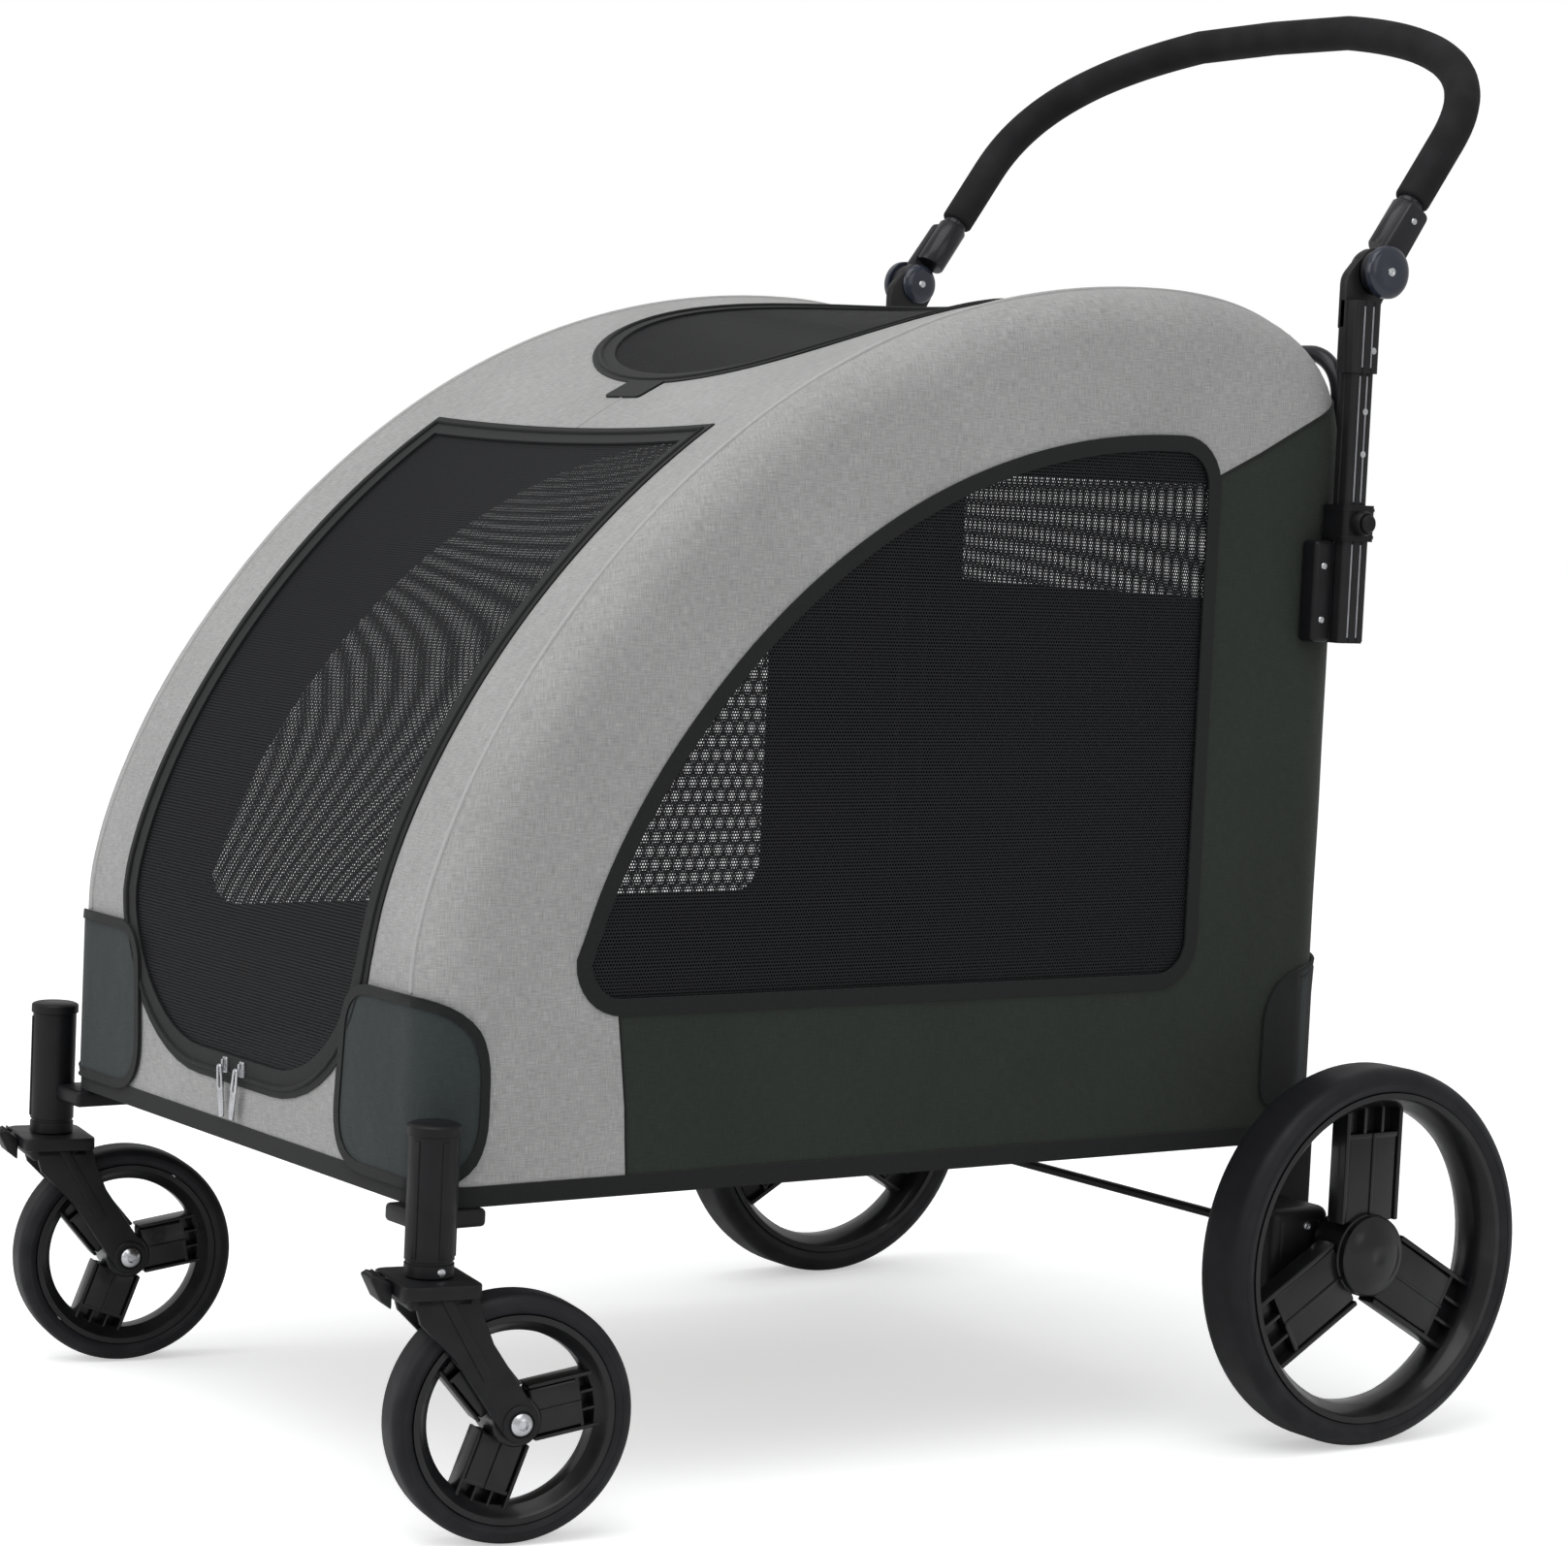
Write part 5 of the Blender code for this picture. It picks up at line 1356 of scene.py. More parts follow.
@dataclass
class RearWheels:
    """Rear wheels with their hub caps, brackets and the brake bar."""

    axle_y: float = 0.3072
    half_track: float = 0.325
    bracket_low: float = 0.236
    wheel: Wheel = field(default_factory=lambda: Wheel(0.135, 0.045, 0.017, 0.012, 0.0295, (-0.020, 0.008),
                                                       0.0064,
                                                       0.054, 0.0078))

    def __post_init__(self) -> None:
        """Take the track and axle from the tyre's box."""
        low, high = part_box("rear_tyre_left")
        self.half_track, self.axle_y = (low[0] + high[0]) / 2, (low[1] + high[1]) / 2

    def build(self) -> None:
        """Make both wheels, both brackets and the brake bar."""
        radius = self.wheel.radius
        for side, name in SIDES:
            centre = Vector((self.half_track, self.axle_y, radius))
            body = f"rear_wheel_{name}"
            for kind, bm, finish, slot in (("tyre", self.wheel.tyre_mesh(), RUBBER, "tyre_rubber"),
                                           ("rim", self.wheel.rim_mesh(), SATIN, "black_plastic")):
                bmesh.ops.translate(bm, verts=bm.verts, vec=centre)
                place(piece(f"rear_{kind}_{name}_v", bm, [finish], side), body, slot, f"rear_{kind}_{name}")
            base = self.half_track + 0.0083
            dome = [(base, 0), (base, 0.0285), (base + 0.0042, 0.0285), (base + 0.0052, 0.0275),
                    (base + 0.0056, 0.0250), (base + 0.0076, 0.0215), (base + 0.0093, 0.0160),
                    (base + 0.0104, 0.0090),
                    (base + 0.0108, 0.0045), (base + 0.0104, 0.0036), (base + 0.0104, 0)]
            cap = turned(dome, (0, self.axle_y, radius), steps=72)
            place(piece(f"hub_cap_{name}_v", cap, [SATIN], side), body, "black_plastic", f"hub_cap_{name}")
            self.bracket(side, name)
        self.brake_bar()

    def bracket(self, side: int, name: str) -> None:
        """Bracket arm, brake housing and boss, with screws and a cable stop.

        Args:
            side: 1 for left, -1 for right.
            name: left or right.
        """
        y, z, low = self.axle_y, self.wheel.radius, self.bracket_low
        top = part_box("rear_bracket_left")[1][2]
        face = self.half_track - self.wheel.width / 2 - 0.003
        parts = [block((low, y - 0.032, z - 0.021), (low + 0.014, y + 0.020, top), 0.0035, 4),
                 block((low + 0.008, y - 0.062, z - 0.035), (face, y - 0.006, z + 0.030), 0.008, 5),
                 block((low + 0.012, y - 0.056, z - 0.029), (face + 0.0008, y - 0.014, z + 0.024), 0.005,
                       4),
                 turned([(low + 0.005, 0.0065), (low + 0.005, 0.0143), (face, 0.0143),
                         (face + 0.001, 0.0133),
                         (face + 0.001, 0.0065)], (0, y, z), steps=48, closed=True),
                 block((low + 0.026, y + 0.010, z + 0.004), (face - 0.002, y + 0.046, z + 0.014), 0.003, 3)]
        item = piece(f"rear_bracket_{name}_v", joined(parts), [PLASTIC], side)
        place(item, "base", "black_plastic", f"rear_bracket_{name}")
        screws = []
        for dy, dz in ((-0.030, 0.017), (-0.047, -0.022)):
            head = [(face + 0.0006, 0), (face + 0.0006, 0.0032), (face + 0.0018, 0.0030),
                    (face + 0.0022, 0.0018),
                    (face + 0.0014, 0.0012), (face + 0.0014, 0)]
            screws.append(turned(head, (0, y + dy, z + dz), steps=24))
        place(piece(f"brake_screws_{name}", joined(screws), [STEEL], side), "base", "steel")

    def brake_bar(self) -> None:
        """The bar between the wheels with a pedal at each end."""
        low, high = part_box("brake_bar")
        z = self.wheel.radius
        bar = [(low[0], 0), (low[0], 0.0029), (low[0] + 0.0006, 0.0035), (high[0] - 0.0006, 0.0035),
               (high[0], 0.0029), (high[0], 0)]
        parts = [turned(bar, (0, self.axle_y, z), steps=32)]
        for side, _ in SIDES:
            ends = sorted((side * 0.204, side * 0.232))
            parts.append(block((ends[0], self.axle_y - 0.008, z - 0.007), (ends[1], high[1], z + 0.007),
                               0.004, 4))
            for k in range(4):
                y = self.axle_y + 0.012 + k * 0.0065
                parts.append(block((ends[0] + 0.004, y, z + 0.0064),
                                   (ends[1] - 0.004, y + 0.003, z + 0.0082),
                                   0.0007, 2))
        place(piece("brake_bar_v", joined(parts), [PLASTIC]), "brake", "black_plastic", "brake_bar")


@dataclass
class Casters:
    """Front casters: corner sockets, forks, locks, bolts and wheels."""

    swivel_x: float = 0.273
    swivel_y: float = -0.4258
    turn: float = radians(-11.3)
    trail: float = 0.055
    plate_in: float = 0.0195
    plate_out: float = 0.0245
    crown_top: float = 0.168
    wheel: Wheel = field(default_factory=lambda: Wheel(0.0785, 0.033, 0.0125, 0.0115, 0.016,
                                                       (-0.0185, 0.0185), 0.0044,
                                                       0.036, 0.009, radians(-80)))

    def set_down(self, bm: bmesh.types.BMesh, side: int) -> bmesh.types.BMesh:
        """Turn a shape made round the swivel axis to where the caster rests."""
        bmesh.ops.rotate(bm, verts=bm.verts, cent=(0, 0, 0), matrix=Matrix.Rotation(self.turn, 3, "Z"))
        bmesh.ops.translate(bm, verts=bm.verts, vec=(side * self.swivel_x, self.swivel_y, 0))
        return bm

    def build(self) -> None:
        """Make both casters."""
        radius = self.wheel.radius
        for side, name in SIDES:
            for kind, bm, finish, slot in (("tyre", self.wheel.tyre_mesh(), RUBBER, "tyre_rubber"),
                                           ("rim", self.wheel.rim_mesh(), SATIN, "black_plastic")):
                bmesh.ops.translate(bm, verts=bm.verts, vec=(0, self.trail, radius))
                item = piece(f"front_{kind}_{name}_v", self.set_down(bm, side), [finish])
                place(item, f"front_wheel_{name}", slot, f"front_{kind}_{name}")
            fork = piece(f"caster_fork_{name}_v", self.set_down(self.fork(), side), [PLASTIC])
            place(fork, f"caster_{name}", "black_plastic", f"caster_fork_{name}")
            bolt = piece(f"front_axle_{name}_v", self.set_down(self.bolt(), side), [STEEL])
            place(bolt, f"caster_{name}", "steel", f"front_axle_{name}")
            lock = piece(f"swivel_lock_{name}_v", self.set_down(self.lock(), side), [PLASTIC])
            place(lock, f"swivel_lock_{name}", "black_plastic", f"swivel_lock_{name}")
            self.corner(side, name)

    def fork(self) -> bmesh.types.BMesh:
        """Crown plate, shoulder, two legs with raised eyes, and the stem."""
        top = self.crown_top
        low = top - 0.013
        corners = rounded([(-0.032, -0.026), (0.032, -0.026), (0.032, 0.026), (-0.032, 0.026)], 0.009)
        parts = [plate(corners, low + 0.004, top, "Z", 0.0014),
                 block((-0.0245, -0.020, low - 0.004), (0.0245, 0.024, top - 0.004), 0.004, 4),
                 turned([(top - 0.002, 0), (top - 0.002, 0.006), (0.246, 0.006), (0.248, 0.0045),
                         (0.248, 0)],
                        (0, 0, 0), "Z", 32)]
        eye = arc((self.trail, self.wheel.radius), 0.0125, 30, -150, 16)
        outline = ([(-0.018, top - 0.005), (0.024, top - 0.005), (0.0285, low - 0.008),
                    (0.036, low - 0.026)] + eye
                   + [(0.012, low - 0.036), (-0.012, low - 0.012)])
        for a, b in ((self.plate_in, self.plate_out), (-self.plate_out, -self.plate_in)):
            parts.append(plate(outline, a, b, "X", 0.0014))
            out = b if b > 0 else a
            step = 0.0014 if out > 0 else -0.0014
            ring = [(out - step, 0.0046), (out - step, 0.0118), (out + step * 0.5, 0.0118),
                    (out + step, 0.0108),
                    (out + step, 0.0086), (out + step * 0.2, 0.0080), (out + step * 0.2, 0.0046)]
            parts.append(turned(ring, (0, self.trail, self.wheel.radius), steps=40, closed=True))
        rib = [(0.000, top - 0.010), (0.008, top - 0.010), (0.036, 0.110), (0.030, 0.106)]
        for a, b in ((self.plate_out - 0.0006, self.plate_out + 0.0012), (-self.plate_out - 0.0012,
                                                                       -self.plate_out + 0.0006)):
            parts.append(plate(rib, a, b, "X", 0.0005))
        return joined(parts)

    def bolt(self) -> bmesh.types.BMesh:
        """Axle bolt with a domed, recessed head and a nut."""
        end = self.plate_out + 0.0003
        profile = [(-end - 0.005, 0), (-end - 0.005, 0.0060), (-end - 0.0042, 0.0066), (-end, 0.0070),
                   (-end, 0.004),
                   (end, 0.004), (end, 0.0072), (end + 0.0022, 0.0070), (end + 0.0042, 0.0052),
                   (end + 0.005, 0.0032),
                   (end + 0.0028, 0.0026), (end + 0.0028, 0)]
        return turned(profile, (0, self.trail, self.wheel.radius), steps=40)

    def lock(self) -> bmesh.types.BMesh:
        """The lock's lever: a lipped paddle in front of the crown."""
        lever = [(-0.0263, 0.150), (-0.0263, 0.166), (-0.0360, 0.172), (-0.0410, 0.170), (-0.0340, 0.156)]
        parts = [plate(lever, -0.011, 0.011, "X", 0.0016)]
        for k in range(3):
            y = -0.0385 + k * 0.0034
            parts.append(block((-0.008, y, 0.1695), (0.008, y + 0.0015, 0.1722), 0.0004, 2))
        return joined(parts)

    def corner(self, side: int, name: str) -> None:
        """Corner socket with a capped top, bands and its mounting plate.

        Args:
            side: 1 for left, -1 for right.
            name: left or right.
        """
        low, high = self.crown_top + 0.0005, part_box(f"front_corner_{name}")[1][2]
        r = 0.0155
        profile = [(low, 0.0064), (low, r - 0.0006), (low + 0.0006, r), (low + 0.008, r),
                   (low + 0.0084, r - 0.0009),
                   (low + 0.0100, r - 0.0009), (low + 0.0104, r), (high - 0.0075, r),
                   (high - 0.0070, r + 0.0013),
                   (high - 0.0018, r + 0.0013), (high - 0.0008, r + 0.0004), (high, r - 0.0016),
                   (high, 0.0)]
        spot = (self.swivel_x, self.swivel_y, 0)
        parts = [turned(profile, spot, "Z", 64),
                 block((0.222, self.swivel_y - 0.004, 0.1935),
                       (self.swivel_x - 0.008, self.swivel_y + 0.045, 0.2052),
                       0.003, 3)]
        for k in range(3):
            angle = radians(-70 + 70 * k)
            strip = block((r - 0.001, -0.0022, low + 0.012), (r + 0.0007, 0.0022, high - 0.010), 0.0006, 2)
            bmesh.ops.rotate(strip, verts=strip.verts, cent=(0, 0, 0),
                             matrix=Matrix.Rotation(angle, 3, "Z"))
            bmesh.ops.translate(strip, verts=strip.verts, vec=spot)
            parts.append(strip)
        place(piece(f"front_corner_{name}_v", joined(parts), [PLASTIC], side), "base", "black_plastic",
              f"front_corner_{name}")
        rivet = turned([(0, 0), (0, 0.0028), (0.0010, 0.0024), (0.0014, 0.0)], (0, 0, 0), "X", 20)
        bmesh.ops.translate(rivet, verts=rivet.verts,
                            vec=(self.swivel_x + r - 0.0004, self.swivel_y, low + 0.0042))
        place(piece(f"socket_rivet_{name}", rivet, [STEEL], side), "base", "steel")


# ---------------------------------------------------------------- frame and handle

@dataclass
class TubeFrame:
    """Base frame, poles in the cabin's edges and the rear hoop."""

    surface: CabinSurface
    half_width: float = 0.245
    corner: float = 0.025
    radius: float = 0.009
    hoop_x: float = 0.240
    hoop_y: float = 0.3002
    hinge_z: float = 0.258

    def build(self) -> None:
        """Make the frame's tubes."""
        low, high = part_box("base_frame")
        z = self.surface.foot + self.radius + 0.0003
        front, rear = low[1] + self.radius, high[1] - self.radius
        edge = rounded([(self.half_width, front), (self.half_width, rear), (-self.half_width, rear),
                        (-self.half_width, front)], self.corner, 10)
        parts = [tube([Vector((x, y, z)) for x, y in edge], self.radius, closed=True, sides=6)]
        for side, _ in SIDES:
            for inner in (self.hoop_x - 0.0095, self.hoop_x + 0.0065):
                ends = sorted((side * inner, side * (inner + 0.003)))
                parts.append(block((ends[0], self.hoop_y - 0.007, z), (ends[1], self.hoop_y + 0.007,
                                                                     self.hinge_z + 0.009), 0.0012, 3))
        place(piece("base_frame_v", joined(parts), [COATED]), "base", "coated_tube", "base_frame")
        self.hoop()
        self.poles()

    def hoop(self) -> None:
        """The bowed tube that the uprights hang from."""
        path = self.hoop_half()
        path += [Vector((-p.x, p.y, p.z)) for p in reversed(path)]
        place(piece("rear_hoop_v", tube(path, 0.006, sides=5), [COATED]), "rear_frame", "coated_tube",
              "rear_hoop")

    def hoop_half(self) -> list[Vector]:
        """Left half of the hoop, from its foot to the middle of its top."""
        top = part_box("rear_hoop")[1][2] - 0.006
        bend, set_back, step_z = 0.032, 0.020, top - 0.152
        corner_z = top - bend
        x, y = self.hoop_x, self.hoop_y
        points = [Vector((x, y, self.hinge_z - 0.0085)), Vector((x, y, step_z - 0.17)),
                  Vector((x, y, step_z))]
        for i in range(1, 14):
            t = i / 14
            points.append(Vector((x, y + set_back * t * t * (3 - 2 * t), step_z + (corner_z - step_z) * t)))
        points += [Vector((a, y + set_back, b)) for a, b in arc((x - bend, corner_z), bend, 0, 90, 12)]
        return points

    def poles(self) -> None:
        """Sprung poles along the cabin's edges."""
        s = self.surface
        low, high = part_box("arch_pole_left")
        x = (low[0] + high[0]) / 2
        foot, inset, steps = low[2], 0.0095, 120
        for side, name in SIDES:
            path = [Vector((x, s.front + inset, foot))]
            for i in range(1, steps + 1):
                spot, out = s.at(s.total * i / steps)
                if spot.y > foot + 0.02:
                    path.append(Vector((x, spot.x - out.x * inset, spot.y - out.y * inset)))
            path.append(Vector((x, s.rear - inset, foot)))
            item = piece(f"arch_pole_{name}_v", tube(path, 0.0045, sides=4), [COATED], side)
            place(item, "base", "coated_tube", f"arch_pole_{name}")
            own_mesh(item)


@dataclass
class Uprights:
    """Sleeves, sliding tubes, brackets and collars beside the cabin."""

    x: float = 0.2748
    y: float = 0.3032
    sleeve_low: float = 0.566
    sleeve_top: float = 0.650
    slide_low: float = 0.632
    block_low: float = 0.757
    pivot_y: float = 0.3182
    pivot_z: float = 0.829
    hub_x: float = 0.2728

    def section(self, half_x: float, half_y: float, groove: float) -> list[Point]:
        """A rounded rectangle round the upright's axis, with lengthwise grooves in its wide faces.

        Args:
            half_x: half of its size across.
            half_y: half of its size lengthwise.
            groove: depth of the grooves.

        Returns:
            The outline, as (x, y) points.
        """
        x, y, g = half_x, half_y, groove
        right = []
        for middle in (-0.34, 0.34):
            c = middle * y
            right += [(x, c - 0.0016), (x - g, c - 0.0010), (x - g, c + 0.0010), (x, c + 0.0016)]
        left = [(-a, -b) for a, b in right]
        bottom = [(-0.0016, -y), (-0.0010, -y + g), (0.0010, -y + g), (0.0016, -y)]
        top = [(-a, -b) for a, b in bottom]
        corner = 0.0030
        made = ([(x - corner, -y)] + arc((x - corner, -y + corner), corner, -90, 0, 4)[1:] + right
                + arc((x - corner, y - corner), corner, 0, 90, 4) + top
                + arc((-x + corner, y - corner), corner, 90, 180, 4) + left
                + arc((-x + corner, -y + corner), corner, 180, 270, 4) + bottom)
        return [(self.x + a, self.y + b) for a, b in made]

    def pipe(self, outline: list[Point], low: float, high: float, wall: float) -> bmesh.types.BMesh:
        """A hollow extrusion of an outline.

        Args:
            outline: the outer outline, as (x, y) points.
            low: height of the lower end.
            high: height of the upper end.
            wall: thickness of the wall.

        Returns:
            The pipe, open at both ends.
        """
        bm = bmesh.new()
        verts = [bm.verts.new((a, b, low)) for a, b in outline]
        edges = [bm.edges.new(pair) for pair in zip(verts, verts[1:] + verts[:1])]
        grown = bmesh.ops.extrude_edge_only(bm, edges=edges)
        bmesh.ops.translate(bm, verts=grown_verts(grown), vec=(0, 0, high - low))
        bmesh.ops.recalc_face_normals(bm, faces=bm.faces)
        middle = Vector((self.x, self.y, (low + high) / 2))
        face = bm.faces[:][0]
        if (face.calc_center_median() - middle).dot(face.normal) < 0:
            bmesh.ops.reverse_faces(bm, faces=bm.faces)
        bmesh.ops.solidify(bm, geom=bm.faces[:], thickness=wall)
        return bm

    def build(self) -> None:
        """Make both uprights."""
        for side, name in SIDES:
            self.sleeve(side, name)
            self.bracket(side, name)
            self.collar(side, name)
            self.slider(side, name)

    def sleeve(self, side: int, name: str) -> None:
        """The fixed sleeve with a closed, rounded foot."""
        outline = self.section(0.010, 0.012, 0.0009)
        foot = plate(self.section(0.0096, 0.0116, 0.0009), self.sleeve_low, self.sleeve_low + 0.004, "Z")
        bm = joined([self.pipe(outline, self.sleeve_low + 0.0012, self.sleeve_top, 0.0016), foot])
        # Painted highlights: pale strips along the sleeve's grooves.
        self.highlight_stripes(side, name, "sleeve", "rear_frame", 0.0100, 0.0041,
                     (self.sleeve_low + 0.004, self.sleeve_top - 0.014))
        place(piece(f"upright_sleeve_{name}_v", bm, [RIBBED], side), "rear_frame", "coated_tube",
              f"upright_sleeve_{name}")

    def highlight_stripes(self, side: int, name: str, label: str, body: str, half_x: float, half_y: float,
                ends: Point) -> None:
        """Two pale metal strips in the grooves of an upright's outer face, as painted highlights along the
        grooves.
        """
        lines = []
        for offset in (-half_y, half_y):
            y = self.y + offset
            lines.append(block((self.x + half_x - 0.0012, y - 0.0008, ends[0]),
                               (self.x + half_x - 0.0002, y + 0.0008, ends[1]), 0.0002, 2))
        place(piece(f"{label}_stripes_{name}", joined(lines), [GROOVE_HIGHLIGHT_STEEL], side), body, "steel")

    def bracket(self, side: int, name: str) -> None:
        """Cheek in front of the sleeve, back plate, boss and rivets.

        Args:
            side: 1 for left, -1 for right.
            name: left or right.
        """
        low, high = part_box(f"upright_bracket_{name}")
        top = high[2]
        wall = 0.2606
        inner = self.x - 0.0103
        front = self.y - 0.0123
        parts = [block((wall, front - 0.018, self.sleeve_low), (inner + 0.012, front, top), 0.0035, 4),
                 block((wall + 0.0004, front - 0.012, self.sleeve_low + 0.004),
                       (inner, self.y + 0.011, top - 0.004),
                       0.001, 2)]
        for z in (self.sleeve_low + 0.021, self.sleeve_low + 0.051):
            boss = [(0.2463, 0), (0.2463, 0.0044), (0.2470, 0.005), (wall + 0.002, 0.005),
                    (wall + 0.002, 0)]
            parts.append(turned(boss, (0, 0.3002, z), steps=24))
        place(piece(f"upright_bracket_{name}_v", joined(parts), [PLASTIC], side), "rear_frame",
              "black_plastic",
              f"upright_bracket_{name}")
        face = inner + 0.0119
        rivets = [turned([(face, 0), (face, 0.0026), (face + 0.0009, 0.0021), (face + 0.0012, 0)],
                         (0, front - 0.010, z), steps=20) for z in (self.sleeve_low + 0.054,
                                                                    self.sleeve_low + 0.016)]
        place(piece(f"bracket_rivets_{name}", joined(rivets), [STEEL], side), "rear_frame", "steel")

    def collar(self, side: int, name: str) -> None:
        """Collar at the sleeve's mouth, with its push button.

        Args:
            side: 1 for left, -1 for right.
            name: left or right.
        """
        low, high = self.sleeve_top - 0.0117, self.sleeve_top + 0.014
        outline = rounded([(self.x - 0.0125, self.y - 0.0145), (self.x + 0.0125, self.y - 0.0145),
                           (self.x + 0.0125, self.y + 0.0145), (self.x - 0.0125, self.y + 0.0145)], 0.0045,
                          6)
        pad = self.x + 0.0195
        middle = (low + high) / 2
        parts = [self.pipe(outline, low, high, 0.0022),
                 turned([(self.x + 0.0112, 0.0069), (self.x + 0.0112, 0.0088), (pad - 0.0015, 0.0088),
                         (pad, 0.0078), (pad, 0.0069)], (0, self.y, middle), steps=40, closed=True)]
        for z in (low + 0.002, high - 0.0044):
            parts.append(self.pipe(shifted(outline, 0.0006), z, z + 0.0024, 0.0014))
        place(piece(f"height_collar_{name}_v", joined(parts), [PLASTIC], side), "rear_frame",
              "black_plastic",
              f"height_collar_{name}")
        button = turned([(pad - 0.003, 0), (pad - 0.003, 0.0065), (pad + 0.0018, 0.0065),
                         (pad + 0.003, 0.0052),
                         (pad + 0.0024, 0.0030), (pad + 0.0022, 0)], (0, self.y, middle), steps=36)
        place(piece(f"height_button_{name}_v", button, [PLASTIC], side), f"height_button_{name}",
              "black_plastic",
              f"height_button_{name}")

    def slider(self, side: int, name: str) -> None:
        """The sliding tube, its upper block with the pivot's ear, and its rivets.

        Args:
            side: 1 for left, -1 for right.
            name: left or right.
        """
        ear_low = self.x - 0.010
        ear_z = self.pivot_z - 0.021
        outline = self.section(0.0080, 0.0100, 0.0008)
        block_outline = self.section(0.0100, 0.0120, 0.0009)
        ear_x = self.hub_x - 0.0003
        cheek = rounded([(self.y - 0.012, ear_z - 0.02), (self.y + 0.012, ear_z - 0.02),
                         (self.pivot_y + 0.017, self.pivot_z - 0.006),
                         (self.pivot_y + 0.004, self.pivot_z + 0.0168),
                         (self.pivot_y - 0.012, self.pivot_z + 0.0120),
                         (self.y - 0.012, self.pivot_z - 0.004)],
                        [0, 0, 0.006, 0.008, 0.008, 0.006])
        parts = [self.pipe(outline, self.slide_low, self.block_low + 0.004, 0.0014),
                 self.pipe(block_outline, self.block_low, ear_z, 0.0018),
                 plate([(a, b) for a, b in self.section(0.0088, 0.0108, 0.0009)], ear_z - 0.003,
                       ear_z - 0.0004, "Z"),
                 plate(cheek, ear_low, ear_x, "X", 0.0012),
                 turned([(ear_low, 0.0034), (ear_low, 0.0160), (ear_low + 0.001, 0.0170),
                         (ear_x - 0.001, 0.0170),
                         (ear_x, 0.0160), (ear_x, 0.0034)], (0, self.pivot_y, self.pivot_z), steps=56,
                        closed=True)]
        place(piece(f"telescopic_tube_{name}_v", joined(parts), [RIBBED], side), "slider", "coated_tube",
              f"telescopic_tube_{name}")
        # Painted highlights: pale strips along the tube's and block's grooves.
        self.highlight_stripes(side, name, "tube", "slider", 0.0080, 0.0034,
                     (self.sleeve_top + 0.016, self.block_low - 0.002))
        self.highlight_stripes(side, name, "block", "slider", 0.0100, 0.0041, (self.block_low + 0.004, ear_z - 0.004))
        studs = []
        for z, y, face in ((0.700, self.y + 0.003, self.x + 0.0080),
                           (0.730, self.y + 0.003, self.x + 0.0080),
                           (0.773, self.y + 0.006, self.x + 0.0100)):
            studs.append(turned([(face - 0.0004, 0), (face - 0.0004, 0.0026), (face + 0.0001, 0.0024),
                                 (face + 0.0002, 0)], (0, y, z), steps=20))
            behind = turned([(0.0, 0), (0.0, 0.0022), (0.0003, 0.0018), (0.0004, 0)], (0, 0, 0), "Y", 20)
            rear = self.y + (0.0100 if z < 0.75 else 0.0120) - 0.0002
            bmesh.ops.translate(behind, verts=behind.verts, vec=(self.x, rear, z))
            studs.append(behind)
        place(piece(f"tube_studs_{name}", joined(studs), [STEEL], side), "slider", "steel")


